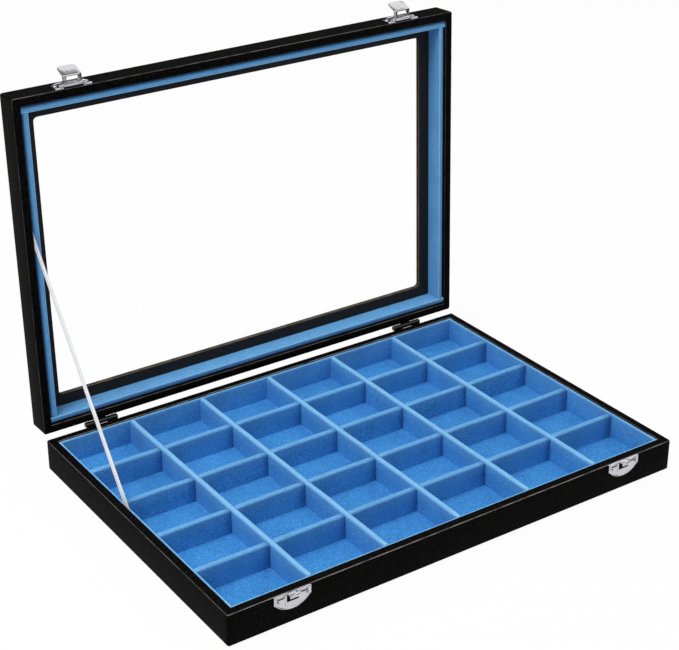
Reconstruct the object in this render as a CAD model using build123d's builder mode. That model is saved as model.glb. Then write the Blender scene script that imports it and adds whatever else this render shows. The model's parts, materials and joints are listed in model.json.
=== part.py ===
from build123d import *

import os

os.makedirs("parts", exist_ok=True)

# Driving dimensions of the box, in millimetres, with the lid shut where a height is given
WIDTH = 350.0
DEPTH = 238.0
BASE_HEIGHT = 23.0
LID_HEIGHT = 18.5
SHUT_GAP = 0.4
OPEN_ANGLE = 92.0
COLUMNS = 6
ROWS = 5

# Boards, leather and velvet
LEATHER = 0.5
WALL = 5.0
CORNER = 1.5
ARRIS = 1.0
SHEET = 0.7
BASE_BOARD = 2.5
FLOOR_LINING = 1.0
BASE_LINING = 1.8
LID_LINING = 5.0
LINING_DROP = 0.7
LINING_ROUNDING = 0.4
DIVIDER = 4.2
DIVIDER_ROUNDING = 1.5
FIT = 0.1
UNDERSIDE_INSET = 3.0
UNDERSIDE_CORNER = 2.0
HEM = 12.0

# Window, glass and their rebate
WINDOW_WIDTH = 311.0
WINDOW_DEPTH = 200.0
WINDOW_CORNER = 3.0
WINDOW_BOARD = 3.6
GLASS = 1.8
GLASS_REBATE = 1.9
GLASS_OVERLAP = 6.0
GLASS_PLAY = 0.6

# Hinges on the rear faces
HINGE_X = 132.0
HINGE_BEHIND = 2.1
HINGE_ABOVE = 0.6
LEAF_WIDTH = 24.0
LEAF_DROP = 10.4
LEAF = 0.8
LEAF_CORNER = 1.2
LEAF_FROM_PIN = 1.9
BARREL = 1.9
HINGE_PIN = 0.9
KNUCKLE_GAP = 0.3
MIDDLE_KNUCKLE = 7.8
NECK_OVERLAP = 0.8
HINGE_PEEN = 0.5

# Catches, latch plates and flaps on the front faces
LATCH_X = 131.0
PLATE = 0.8
PLATE_HALF_WIDTH = 13.0
PLATE_SHOULDER = 0.8
PLATE_SHOULDER_HALF_WIDTH = 11.8
CATCH_SIDE = 5.4
CATCH_TALL = 11.4
LATCH_SIDE = 7.4
LATCH_TALL = 12.8
LATCH_NOTCH = 8.6
PLATE_RIM = 0.9
PLATE_RIM_PROUD = 0.4
CATCH_BELOW_RIM = 0.4
LATCH_ABOVE_RIM = 0.9
HOOK_WIDTH = 7.0
HOOK_REACH = 3.6
HOOK_TALL = 1.8
HOOK_BEND = 1.0
HOOK_HOLE_WIDTH = 8.2
HOOK_HOLE_CORNER = 0.8
HOOK_HOLE_TOP = 1.2
HOOK_HOLE_BOTTOM = 5.8
ROLL = 0.55
ROLL_START = 4.2
PIVOT_ABOVE_RIM = 1.7
PIVOT_AHEAD = 1.6
LATCH_BARREL = 1.3
LATCH_PIN = 0.6
LATCH_PEEN = 0.15
FLAP_ANGLE = 98.0
FLAP_HALF_WIDTH = 6.8
FLAP_SIDE_GAP = 0.3
FLAP_KNUCKLE = 2.8
FLAP_WINDOW_WIDTH = 8.0
FLAP_WINDOW_CORNER = 0.8
FLAP_WINDOW_TOP = 1.7
FLAP_WINDOW_BOTTOM = 5.3
FLAP_STRAIGHT = 5.6
FLAP_FORWARD = 0.1
TONGUE_BEND = 1.2
TONGUE_ANGLE = 58.0
TONGUE_LENGTH = 8.8
TONGUE_CORNER = 3.0
RUNNING_FIT = 0.05
TOLERANCE = 0.01

# Fastenings
SCREW_HEAD = 1.7
SCREW_HEAD_TALL = 0.7
SCREW_SHANK = 0.9
SCREW_LENGTH = 4.6
SCREW_X = 7.5
RIVET_HEAD = 1.4
RIVET_HEAD_TALL = 0.6
RIVET_SHANK = 0.7
RIVET_LENGTH = 4.0
RIVET_X = 10.2
CATCH_RIVET_FROM_EDGE = 3.9
LATCH_RIVET_FROM_EDGE = 6.0
HEAD_DOME = 0.8

# Ribbon stay, by where it leaves the base lining and the lid's rim
RIBBON_WIDTH = 6.0
RIBBON = 0.25
RIBBON_BASE_Y = 14.0
RIBBON_LID_Y = -21.0
RIBBON_TUCK = 9.0
RIBBON_POCKET = 0.45
POCKET_SPARE = 0.6

# Sizes that follow from the driving dimensions
RIM = WALL + 2 * LEATHER
BOARD_LOW = SHEET + LEATHER
BOARD_TOP = BOARD_LOW + BASE_BOARD
FLOOR = BOARD_TOP + FLOOR_LINING
LINING_TOP = BASE_HEIGHT - LINING_DROP
LID_RIM = BASE_HEIGHT + SHUT_GAP
LID_TOP = LID_RIM + LID_HEIGHT
LID_BOARD_TOP = LID_TOP - LEATHER
LID_BOARD_LOW = LID_BOARD_TOP - WINDOW_BOARD
FACING_LOW = LID_BOARD_LOW - LEATHER
INNER_WIDTH = WIDTH - 2 * RIM
INNER_DEPTH = DEPTH - 2 * RIM
TRAY_WIDTH = INNER_WIDTH - 2 * BASE_LINING
TRAY_DEPTH = INNER_DEPTH - 2 * BASE_LINING
COLUMN_PITCH = (TRAY_WIDTH + DIVIDER) / COLUMNS
ROW_PITCH = (TRAY_DEPTH + DIVIDER) / ROWS
HINGE_Y = DEPTH / 2 + HINGE_BEHIND
HINGE_Z = BASE_HEIGHT + HINGE_ABOVE
PIVOT_Y = -DEPTH / 2 - PIVOT_AHEAD
PIVOT_Z = LID_RIM + PIVOT_ABOVE_RIM
BASE_LEAF_TOP = HINGE_Z - LEAF_FROM_PIN
LID_LEAF_LOW = HINGE_Z + LEAF_FROM_PIN
CATCH_EDGE = BASE_HEIGHT - CATCH_BELOW_RIM
LATCH_EDGE = LID_RIM + LATCH_ABOVE_RIM


def turned(frame, depth, height, degrees):
    """A frame turned about the line along X through its own point at a depth and height."""
    pivot = Pos(0, depth, height) * Rot(degrees, 0, 0) * Pos(0, -depth, -height)
    return Plane(frame.location * pivot)


# The lid is drawn as if shut, in a frame turned open about the hinges, and each flap is drawn
# as if latched, in a frame turned up about its pin to where the photographed one leans
BASE = Plane.XY
LID = turned(BASE, HINGE_Y, HINGE_Z, -OPEN_ANGLE)
FLAP = turned(LID, PIVOT_Y, PIVOT_Z, -FLAP_ANGLE)


def upright(frame, depth):
    """The plane of a frame that faces the front at a depth: X to the right, Y upwards."""
    return Plane(frame.location * Pos(0, depth, 0) * Plane.XZ.location)


def section(frame, place):
    """The plane of a frame that faces right at a place: X to the rear, Y upwards."""
    return Plane(frame.location * Pos(place, 0, 0) * Plane.YZ.location)


def upwards(frame):
    """The axis of a frame that points from its base to its top."""
    return Axis(frame.origin, frame.z_dir)


def keep(piece, name):
    """Label a finished piece and write it."""
    piece.part.label = name
    export_step(piece.part, f"parts/{name}.step")


def fastener_places(centre, spread, height):
    """The points, on an upright plane, of one pair of fasteners on each side of the box."""
    return [(side * centre + offset, height) for side in (-1, 1) for offset in (-spread, spread)]


BASE_FRONT = upright(BASE, -DEPTH / 2)
BASE_REAR = upright(BASE, DEPTH / 2)
LID_FRONT = upright(LID, -DEPTH / 2)
LID_REAR = upright(LID, DEPTH / 2)
CATCH_RIVETS = fastener_places(LATCH_X, RIVET_X, CATCH_EDGE - CATCH_RIVET_FROM_EDGE)
LATCH_RIVETS = fastener_places(LATCH_X, RIVET_X, LATCH_EDGE + LATCH_RIVET_FROM_EDGE)
BASE_SCREWS = fastener_places(HINGE_X, SCREW_X, BASE_LEAF_TOP - LEAF_DROP / 2)
LID_SCREWS = fastener_places(HINGE_X, SCREW_X, LID_LEAF_LOW + LEAF_DROP / 2)


def holes(plane, places, radius):
    """The holes on a plane for a group of fasteners of a shank radius."""
    with BuildSketch(plane) as group:
        with Locations(places):
            Circle(radius + RUNNING_FIT)
    return group.sketch


# Underside sheet: the flat sheet that closes the bottom and rests on the table
with BuildPart() as underside_sheet:
    with BuildSketch(BASE):
        RectangleRounded(WIDTH - 2 * UNDERSIDE_INSET, DEPTH - 2 * UNDERSIDE_INSET, UNDERSIDE_CORNER)
    extrude(amount=SHEET)
keep(underside_sheet, "underside_sheet")

# Base board: the fibreboard bottom, out to the inside of the leather
with BuildPart() as base_board:
    with BuildSketch(BASE.offset(BOARD_LOW)):
        RectangleRounded(WIDTH - 2 * LEATHER, DEPTH - 2 * LEATHER, CORNER - LEATHER)
    extrude(amount=BASE_BOARD)
keep(base_board, "base_board")


def long_wall(name, frame, side, low, high, places, radius):
    """A front wall (side -1) or rear wall (side 1), with its outer corners rounded."""
    with BuildPart() as wall:
        with BuildSketch(frame.offset(low)) as outline:
            with Locations((0, side * (DEPTH / 2 - LEATHER - WALL / 2))):
                Rectangle(WIDTH - 2 * LEATHER, WALL)
            outer = outline.vertices().sort_by(Axis.Y)[:2]
            if side > 0:
                outer = outline.vertices().sort_by(Axis.Y)[-2:]
            fillet(outer, CORNER - LEATHER)
        extrude(amount=high - low)
        bores = holes(upright(frame, side * DEPTH / 2), places, radius)
        extrude(bores, amount=side * RIM, mode=Mode.SUBTRACT)
    keep(wall, name)


def side_wall(name, frame, side, low, high):
    """A left wall (side -1) or right wall (side 1), between the long walls."""
    with BuildPart() as wall:
        with BuildSketch(frame.offset(low)):
            with Locations((side * (WIDTH / 2 - LEATHER - WALL / 2), 0)):
                Rectangle(WALL, DEPTH - 2 * LEATHER - 2 * WALL)
        extrude(amount=high - low)
    keep(wall, name)


# Walls of the base, standing on the board, and rails of the lid, under its window board
BASE_WALL_TOP = BASE_HEIGHT - LEATHER
long_wall("base_front_wall", BASE, -1, BOARD_TOP, BASE_WALL_TOP, CATCH_RIVETS, RIVET_SHANK)
long_wall("base_rear_wall", BASE, 1, BOARD_TOP, BASE_WALL_TOP, BASE_SCREWS, SCREW_SHANK)
side_wall("base_left_wall", BASE, -1, BOARD_TOP, BASE_WALL_TOP)
side_wall("base_right_wall", BASE, 1, BOARD_TOP, BASE_WALL_TOP)

RAIL_LOW = LID_RIM + LEATHER
long_wall("lid_front_rail", LID, -1, RAIL_LOW, LID_BOARD_LOW, LATCH_RIVETS, RIVET_SHANK)
long_wall("lid_rear_rail", LID, 1, RAIL_LOW, LID_BOARD_LOW, LID_SCREWS, SCREW_SHANK)
side_wall("lid_left_rail", LID, -1, RAIL_LOW, LID_BOARD_LOW)
side_wall("lid_right_rail", LID, 1, RAIL_LOW, LID_BOARD_LOW)

# Leather of the base: one skin over the outside, the rim and the inside of the walls, with a hem
# turned in under the board
with BuildPart() as base_leather_wrap:
    with BuildSketch(BASE.offset(SHEET)):
        RectangleRounded(WIDTH, DEPTH, CORNER)
    extrude(amount=BASE_HEIGHT - SHEET)
    fillet(base_leather_wrap.faces().sort_by(Axis.Z)[-1].edges(), ARRIS)
    with BuildSketch(BASE.offset(SHEET)):
        Rectangle(WIDTH - 2 * HEM, DEPTH - 2 * HEM)
    extrude(amount=LEATHER, mode=Mode.SUBTRACT)
    with BuildSketch(BASE.offset(BOARD_LOW)):
        RectangleRounded(WIDTH - 2 * LEATHER, DEPTH - 2 * LEATHER, CORNER - LEATHER)
    extrude(amount=BASE_BOARD, mode=Mode.SUBTRACT)
    with BuildSketch(BASE.offset(BOARD_TOP)):
        RectangleRounded(WIDTH - 2 * LEATHER, DEPTH - 2 * LEATHER, CORNER - LEATHER)
        Rectangle(INNER_WIDTH + 2 * LEATHER, INNER_DEPTH + 2 * LEATHER, mode=Mode.SUBTRACT)
    extrude(amount=BASE_WALL_TOP - BOARD_TOP, mode=Mode.SUBTRACT)
    with BuildSketch(BASE.offset(BOARD_TOP)):
        Rectangle(INNER_WIDTH, INNER_DEPTH)
    extrude(amount=BASE_HEIGHT - BOARD_TOP, mode=Mode.SUBTRACT)
    extrude(holes(BASE_FRONT, CATCH_RIVETS, RIVET_SHANK), amount=-RIM, mode=Mode.SUBTRACT)
    extrude(holes(BASE_REAR, BASE_SCREWS, SCREW_SHANK), amount=RIM, mode=Mode.SUBTRACT)
keep(base_leather_wrap, "base_leather_wrap")

# Floor lining: the velvet-covered card that the dividers stand on
with BuildPart() as floor_lining:
    with BuildSketch(BASE.offset(BOARD_TOP)):
        Rectangle(INNER_WIDTH, INNER_DEPTH)
    extrude(amount=FLOOR_LINING)
keep(floor_lining, "floor_lining")


def lid_point(depth, height):
    """Where a point of the shut lid, in the plane across the box, lies with the lid open."""
    return LID.from_local_coords(Vector(0, depth, height))


# Ribbon stay: a straight satin strip in the plane of the left walls, tucked at both ends into
# pockets behind the linings
ribbon_foot = Vector(0, RIBBON_BASE_Y, LINING_TOP)
ribbon_head = lid_point(RIBBON_LID_Y, LID_RIM)
ribbon_way = (ribbon_head - ribbon_foot).normalized()
ribbon_middle = (ribbon_head + ribbon_foot) / 2
ribbon_length = (ribbon_head - ribbon_foot).length + 2 * RIBBON_TUCK
ribbon_slope = Vector(0, 1, 0).get_angle(ribbon_way)
RIBBON_X = -INNER_WIDTH / 2 + RIBBON_POCKET / 2
print(f"ribbon: {ribbon_length:.1f} mm long, sloping {ribbon_slope:.1f} degrees")


def ribbon_strip(thickness, spare):
    """The side view of the ribbon with some spare width, on the left face of a thickness."""
    with BuildSketch(section(BASE, RIBBON_X - thickness / 2)) as strip:
        with Locations(Location((ribbon_middle.Y, ribbon_middle.Z, 0), (0, 0, ribbon_slope))):
            Rectangle(ribbon_length + spare, RIBBON_WIDTH + spare)
    return strip.sketch


with BuildPart() as stay_ribbon:
    extrude(ribbon_strip(RIBBON, 0), amount=RIBBON)
keep(stay_ribbon, "stay_ribbon")


def lining(name, frame, low, high, thickness, side, along_x, rounded_low):
    """A velvet-covered strip inside the walls, with its free edge rounded, on one side of the box.

    The front and rear strips run the whole inner width, and the side strips fit between them.
    """
    if along_x:
        plane = section(frame, -INNER_WIDTH / 2)
        centre = side * (INNER_DEPTH - thickness) / 2
        length = INNER_WIDTH
    else:
        length = INNER_DEPTH - 2 * thickness
        plane = upright(frame, length / 2)
        centre = side * (INNER_WIDTH - thickness) / 2
    with BuildPart() as strip:
        with BuildSketch(plane) as profile:
            with Locations((centre, (low + high) / 2)):
                Rectangle(thickness, high - low)
            free_edge = profile.vertices().sort_by(Axis.Y)[-2:]
            if rounded_low:
                free_edge = profile.vertices().sort_by(Axis.Y)[:2]
            fillet(free_edge, LINING_ROUNDING * thickness)
        extrude(amount=length)
        if side < 0 and not along_x:
            pocket = ribbon_strip(RIBBON_POCKET, POCKET_SPARE)
            extrude(pocket, amount=RIBBON_POCKET, mode=Mode.SUBTRACT)
    keep(strip, name)


SIDES = (("front", -1, True), ("rear", 1, True), ("left", -1, False), ("right", 1, False))
LID_LINING_LOW = LID_RIM + LINING_DROP
for place, side, along_x in SIDES:
    lining(f"base_lining_{place}", BASE, FLOOR, LINING_TOP, BASE_LINING, side, along_x, False)
    lining(f"lid_lining_{place}", LID, LID_LINING_LOW, FACING_LOW, LID_LINING, side, along_x, True)

# Dividers: velvet-covered boards with rounded tops, halved over each other, the front-to-back
# ones on top
HALF_LAP = (FLOOR + LINING_TOP) / 2
column_places = [COLUMN_PITCH * (n - COLUMNS / 2) for n in range(1, COLUMNS)]
row_places = [ROW_PITCH * (n - ROWS / 2) for n in range(1, ROWS)]


def divider(name, plane, length, laps, lap_low, lap_high):
    """A divider drawn as its end profile on a plane, with half laps cut at the crossings."""
    with BuildPart() as board:
        with BuildSketch(plane) as profile:
            with Locations((0, (FLOOR + LINING_TOP) / 2)):
                Rectangle(DIVIDER, LINING_TOP - FLOOR)
            fillet(profile.vertices().sort_by(Axis.Y)[-2:], DIVIDER_ROUNDING)
        extrude(amount=length)
        with BuildSketch(BASE.offset(lap_low)):
            with Locations(laps):
                Rectangle(DIVIDER + 2 * FIT, DIVIDER + 2 * FIT)
        extrude(amount=lap_high - lap_low, mode=Mode.SUBTRACT)
    keep(board, name)


for number, row in enumerate(row_places, start=1):
    start = Plane(section(BASE, -TRAY_WIDTH / 2 + FIT).location * Pos(row, 0, 0))
    crossings = [(column, row) for column in column_places]
    divider(f"row_divider_{number}", start, TRAY_WIDTH - 2 * FIT, crossings, HALF_LAP, BASE_HEIGHT)
for number, column in enumerate(column_places, start=1):
    start = Plane(upright(BASE, TRAY_DEPTH / 2 - FIT).location * Pos(column, 0, 0))
    crossings = [(column, row) for row in row_places]
    divider(f"column_divider_{number}", start, TRAY_DEPTH - 2 * FIT, crossings, 0, HALF_LAP + FIT)

# Window board: the top of the lid, with the window and, below it, the rebate for the glass
OPENING_WIDTH = WINDOW_WIDTH + 2 * LEATHER
OPENING_DEPTH = WINDOW_DEPTH + 2 * LEATHER
REBATE_TOP = LID_BOARD_LOW + GLASS_REBATE
with BuildPart() as lid_window_board:
    with BuildSketch(LID.offset(LID_BOARD_LOW)):
        RectangleRounded(WIDTH - 2 * LEATHER, DEPTH - 2 * LEATHER, CORNER - LEATHER)
        RectangleRounded(OPENING_WIDTH, OPENING_DEPTH, WINDOW_CORNER + LEATHER, mode=Mode.SUBTRACT)
    extrude(amount=WINDOW_BOARD)
    with BuildSketch(LID.offset(LID_BOARD_LOW)):
        Rectangle(OPENING_WIDTH + 2 * GLASS_OVERLAP, OPENING_DEPTH + 2 * GLASS_OVERLAP)
    extrude(amount=GLASS_REBATE, mode=Mode.SUBTRACT)
keep(lid_window_board, "lid_window_board")

# Glass pane, in the rebate
with BuildPart() as glass_pane:
    with BuildSketch(LID.offset(LID_BOARD_LOW)):
        Rectangle(
            OPENING_WIDTH + 2 * GLASS_OVERLAP - GLASS_PLAY,
            OPENING_DEPTH + 2 * GLASS_OVERLAP - GLASS_PLAY,
        )
    extrude(amount=GLASS)
keep(glass_pane, "glass_pane")

# Inner facing: the black frame glued over the edge of the glass
with BuildPart() as lid_inner_facing:
    with BuildSketch(LID.offset(FACING_LOW)):
        Rectangle(INNER_WIDTH, INNER_DEPTH)
        RectangleRounded(WINDOW_WIDTH, WINDOW_DEPTH, WINDOW_CORNER, mode=Mode.SUBTRACT)
    extrude(amount=LEATHER)
keep(lid_inner_facing, "lid_inner_facing")

# Leather of the lid: one skin over the outside, the window's edge, the rim and the inside
lid_up = upwards(LID)
with BuildPart() as lid_leather_wrap:
    with BuildSketch(LID.offset(LID_RIM)):
        RectangleRounded(WIDTH, DEPTH, CORNER)
    extrude(amount=LID_HEIGHT)
    fillet(lid_leather_wrap.faces().sort_by(lid_up)[-1].edges(), ARRIS)
    fillet(lid_leather_wrap.faces().sort_by(lid_up)[0].edges(), ARRIS)
    with BuildSketch(LID.offset(RAIL_LOW)):
        RectangleRounded(WIDTH - 2 * LEATHER, DEPTH - 2 * LEATHER, CORNER - LEATHER)
        Rectangle(INNER_WIDTH + 2 * LEATHER, INNER_DEPTH + 2 * LEATHER, mode=Mode.SUBTRACT)
    extrude(amount=LID_BOARD_LOW - RAIL_LOW, mode=Mode.SUBTRACT)
    with BuildSketch(LID.offset(LID_RIM)):
        Rectangle(INNER_WIDTH, INNER_DEPTH)
    extrude(amount=LID_BOARD_LOW - LID_RIM, mode=Mode.SUBTRACT)
    with BuildSketch(LID.offset(LID_BOARD_LOW)):
        RectangleRounded(WIDTH - 2 * LEATHER, DEPTH - 2 * LEATHER, CORNER - LEATHER)
    extrude(amount=GLASS_REBATE, mode=Mode.SUBTRACT)
    with BuildSketch(LID.offset(REBATE_TOP)):
        RectangleRounded(WIDTH - 2 * LEATHER, DEPTH - 2 * LEATHER, CORNER - LEATHER)
        RectangleRounded(OPENING_WIDTH, OPENING_DEPTH, WINDOW_CORNER + LEATHER, mode=Mode.SUBTRACT)
    extrude(amount=LID_BOARD_TOP - REBATE_TOP, mode=Mode.SUBTRACT)
    with BuildSketch(LID.offset(REBATE_TOP)):
        RectangleRounded(WINDOW_WIDTH, WINDOW_DEPTH, WINDOW_CORNER)
    extrude(amount=LID_TOP - REBATE_TOP, mode=Mode.SUBTRACT)
    extrude(holes(LID_FRONT, LATCH_RIVETS, RIVET_SHANK), amount=-RIM, mode=Mode.SUBTRACT)
    extrude(holes(LID_REAR, LID_SCREWS, SCREW_SHANK), amount=RIM, mode=Mode.SUBTRACT)
keep(lid_leather_wrap, "lid_leather_wrap")

# Hinge leaves: stamped plates on the rear faces, each with its knuckles round the pin
OUTER_KNUCKLE = (LEAF_WIDTH - MIDDLE_KNUCKLE) / 2 - KNUCKLE_GAP
outer_knuckles = ((-LEAF_WIDTH / 2, OUTER_KNUCKLE), (LEAF_WIDTH / 2 - OUTER_KNUCKLE, OUTER_KNUCKLE))
middle_knuckle = ((-MIDDLE_KNUCKLE / 2, MIDDLE_KNUCKLE),)


def hinge_leaf(name, frame, centre, low, high, knuckles, neck_low, neck_high, places):
    """A leaf from low to high, with a neck and a barrel at each knuckle."""
    with BuildPart() as leaf:
        with BuildSketch(upright(frame, DEPTH / 2)):
            with Locations((centre, (low + high) / 2)):
                RectangleRounded(LEAF_WIDTH, high - low, LEAF_CORNER)
            with Locations(places):
                Circle(SCREW_SHANK + RUNNING_FIT, mode=Mode.SUBTRACT)
        extrude(amount=-LEAF)
        for start, length in knuckles:
            with BuildSketch(section(frame, centre + start)):
                with Locations((HINGE_Y - BARREL + LEAF / 2, (neck_low + neck_high) / 2)):
                    Rectangle(LEAF, neck_high - neck_low)
                with Locations((HINGE_Y, HINGE_Z)):
                    Circle(BARREL)
                    Circle(HINGE_PIN + RUNNING_FIT, mode=Mode.SUBTRACT)
            extrude(amount=length)
    keep(leaf, name)


for place, side in (("left", -1), ("right", 1)):
    base_low = BASE_LEAF_TOP - LEAF_DROP
    lid_high = LID_LEAF_LOW + LEAF_DROP
    on_base = [point for point in BASE_SCREWS if point[0] * side > 0]
    on_lid = [point for point in LID_SCREWS if point[0] * side > 0]
    hinge_leaf(f"hinge_base_leaf_{place}", BASE, side * HINGE_X, base_low, BASE_LEAF_TOP,
               outer_knuckles, BASE_LEAF_TOP - NECK_OVERLAP, HINGE_Z, on_base)
    hinge_leaf(f"hinge_lid_leaf_{place}", LID, side * HINGE_X, LID_LEAF_LOW, lid_high,
               middle_knuckle, HINGE_Z, LID_LEAF_LOW + NECK_OVERLAP, on_lid)

# Hinge pins, with a peened head at each end
for place, side in (("left", -1), ("right", 1)):
    with BuildPart() as pin:
        with BuildSketch(section(BASE, side * HINGE_X - LEAF_WIDTH / 2)):
            with Locations((HINGE_Y, HINGE_Z)):
                Circle(HINGE_PIN)
        extrude(amount=LEAF_WIDTH)
        for start in (-LEAF_WIDTH / 2 - HINGE_PEEN, LEAF_WIDTH / 2):
            with BuildSketch(section(BASE, side * HINGE_X + start)):
                with Locations((HINGE_Y, HINGE_Z)):
                    Circle(HINGE_PIN + HINGE_PEEN)
            extrude(amount=HINGE_PEEN)
    keep(pin, f"hinge_pin_{place}")


def fasteners(name, plane, outwards, places, head, head_tall, shank, length):
    """A group of domed fasteners whose heads sit on a plane, outwards along its normal or back."""
    with BuildPart() as group:
        with BuildSketch(plane):
            with Locations(places):
                Circle(head)
        extrude(amount=outwards * head_tall)
        rims = group.edges().filter_by(GeomType.CIRCLE).group_by(Axis(plane.origin, plane.z_dir))
        fillet(rims[-1] if outwards > 0 else rims[0], HEAD_DOME * head_tall)
        with BuildSketch(plane):
            with Locations(places):
                Circle(shank)
        extrude(amount=-outwards * length)
    keep(group, name)


BEHIND_LEAF = DEPTH / 2 + LEAF
BEFORE_PLATE = -DEPTH / 2 - PLATE
fasteners("hinge_base_screws", upright(BASE, BEHIND_LEAF), -1, BASE_SCREWS,
          SCREW_HEAD, SCREW_HEAD_TALL, SCREW_SHANK, SCREW_LENGTH)
fasteners("hinge_lid_screws", upright(LID, BEHIND_LEAF), -1, LID_SCREWS,
          SCREW_HEAD, SCREW_HEAD_TALL, SCREW_SHANK, SCREW_LENGTH)
fasteners("catch_rivets", upright(BASE, BEFORE_PLATE), 1, CATCH_RIVETS,
          RIVET_HEAD, RIVET_HEAD_TALL, RIVET_SHANK, RIVET_LENGTH)
fasteners("latch_rivets", upright(LID, BEFORE_PLATE), 1, LATCH_RIVETS,
          RIVET_HEAD, RIVET_HEAD_TALL, RIVET_SHANK, RIVET_LENGTH)


def half_moon(centre, edge, side, top):
    """The half-moon outline, by the heights of its straight edge, its sides' ends and its top."""
    shoulder = side + PLATE_SHOULDER * (1 if top > edge else -1)
    with BuildSketch() as moon:
        with BuildLine():
            Polyline(
                (centre - PLATE_SHOULDER_HALF_WIDTH, shoulder),
                (centre - PLATE_HALF_WIDTH, side),
                (centre - PLATE_HALF_WIDTH, edge),
                (centre + PLATE_HALF_WIDTH, edge),
                (centre + PLATE_HALF_WIDTH, side),
                (centre + PLATE_SHOULDER_HALF_WIDTH, shoulder),
            )
            ThreePointArc(
                (centre + PLATE_SHOULDER_HALF_WIDTH, shoulder),
                (centre, top),
                (centre - PLATE_SHOULDER_HALF_WIDTH, shoulder),
            )
        make_face()
    return moon.sketch


def plate_face(frame, centre, edge, side, top, places):
    """A half-moon on the front face of a frame, with its rivet holes."""
    with BuildSketch(upright(frame, -DEPTH / 2)) as face:
        add(half_moon(centre, edge, side, top))
        with Locations(places):
            Circle(RIVET_SHANK + RUNNING_FIT, mode=Mode.SUBTRACT)
    return face.sketch


def plate_rim(frame, centre, edge, side, top):
    """The raised rim along the round edge of a half-moon, on the face of its plate."""
    with BuildSketch(upright(frame, -DEPTH / 2 - PLATE)) as rim:
        add(half_moon(centre, edge, side, top))
        offset(amount=-PLATE_RIM, mode=Mode.SUBTRACT)
        with Locations((centre, edge)):
            Rectangle(3 * PLATE_HALF_WIDTH, 2 * abs(side - edge), mode=Mode.SUBTRACT)
    return rim.sketch


# Catch plates: half-moons on the base with a rolled top edge, broken in the middle by the hook, and
# with a hole under the hook, where its metal was lanced out
catch_heights = (CATCH_EDGE, CATCH_EDGE - CATCH_SIDE, CATCH_EDGE - CATCH_TALL)
for place, side in (("left", -1), ("right", 1)):
    centre = side * LATCH_X
    own_rivets = [point for point in CATCH_RIVETS if point[0] * side > 0]
    hook_level = CATCH_EDGE - PLATE / 2
    hook_front = -DEPTH / 2 - HOOK_REACH
    with BuildPart() as catch_plate:
        extrude(plate_face(BASE, centre, *catch_heights, own_rivets), amount=PLATE)
        extrude(plate_rim(BASE, centre, *catch_heights), amount=PLATE_RIM_PROUD)
        with BuildSketch(upright(BASE, -DEPTH / 2)):
            with Locations((centre, CATCH_EDGE - (HOOK_HOLE_TOP + HOOK_HOLE_BOTTOM) / 2)):
                RectangleRounded(HOOK_HOLE_WIDTH, HOOK_HOLE_BOTTOM - HOOK_HOLE_TOP, HOOK_HOLE_CORNER)
        extrude(amount=PLATE, mode=Mode.SUBTRACT)
        for start in (-PLATE_HALF_WIDTH, ROLL_START):
            with BuildSketch(section(BASE, centre + start)):
                with Locations((-DEPTH / 2 - PLATE, CATCH_EDGE - ROLL)):
                    Circle(ROLL)
                with Locations((-DEPTH / 2 + ROLL, CATCH_EDGE - ROLL)):
                    Rectangle(2 * ROLL, 3 * ROLL, mode=Mode.SUBTRACT)
            extrude(amount=PLATE_HALF_WIDTH - ROLL_START)
        with BuildSketch(section(BASE, centre - HOOK_WIDTH / 2)):
            with BuildLine() as hook_line:
                root = Line(
                    (-DEPTH / 2 - PLATE / 2, hook_level), (hook_front + HOOK_BEND, hook_level)
                )
                bend = JernArc(root @ 1, root % 1, HOOK_BEND, 90)
                Line(bend @ 1, (hook_front, CATCH_EDGE - PLATE / 2 - HOOK_TALL))
            trace(hook_line.edges(), PLATE)
        extrude(amount=HOOK_WIDTH)
    keep(catch_plate, f"catch_plate_{place}")

# Latch plates: taller half-moons upside down on the lid, cut back in the middle for the flap and
# carrying its pin in a knuckle on each side
KNUCKLE_START = FLAP_HALF_WIDTH + FLAP_SIDE_GAP
latch_heights = (LATCH_EDGE, LATCH_EDGE + LATCH_SIDE, LATCH_EDGE + LATCH_TALL)
for place, side in (("left", -1), ("right", 1)):
    centre = side * LATCH_X
    own_rivets = [point for point in LATCH_RIVETS if point[0] * side > 0]
    with BuildPart() as latch_plate:
        extrude(plate_face(LID, centre, *latch_heights, own_rivets), amount=PLATE)
        extrude(plate_rim(LID, centre, *latch_heights), amount=PLATE_RIM_PROUD)
        with BuildSketch(upright(LID, -DEPTH / 2)):
            with Locations((centre, LATCH_EDGE)):
                Rectangle(2 * KNUCKLE_START, 2 * LATCH_NOTCH)
        extrude(amount=PLATE, mode=Mode.SUBTRACT)
        for start in (-KNUCKLE_START - FLAP_KNUCKLE, KNUCKLE_START):
            with BuildSketch(section(LID, centre + start)):
                with Locations((PIVOT_Y, PIVOT_Z)):
                    Circle(LATCH_BARREL)
                with Locations((PIVOT_Y + LATCH_BARREL / 2, PIVOT_Z + LATCH_BARREL / 2)):
                    Rectangle(LATCH_BARREL, LATCH_BARREL)
                with Locations((PIVOT_Y, PIVOT_Z)):
                    Circle(LATCH_PIN + RUNNING_FIT, mode=Mode.SUBTRACT)
            extrude(amount=FLAP_KNUCKLE)
    keep(latch_plate, f"latch_plate_{place}")

    pin_half_length = KNUCKLE_START + FLAP_KNUCKLE
    with BuildPart() as latch_pin:
        with BuildSketch(section(LID, centre - pin_half_length)):
            with Locations((PIVOT_Y, PIVOT_Z)):
                Circle(LATCH_PIN)
        extrude(amount=2 * pin_half_length)
        for start in (-pin_half_length - LATCH_PEEN, pin_half_length):
            with BuildSketch(section(LID, centre + start)):
                with Locations((PIVOT_Y, PIVOT_Z)):
                    Circle(LATCH_PIN + LATCH_PEEN)
            extrude(amount=LATCH_PEEN)
    keep(latch_pin, f"latch_pin_{place}")

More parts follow.
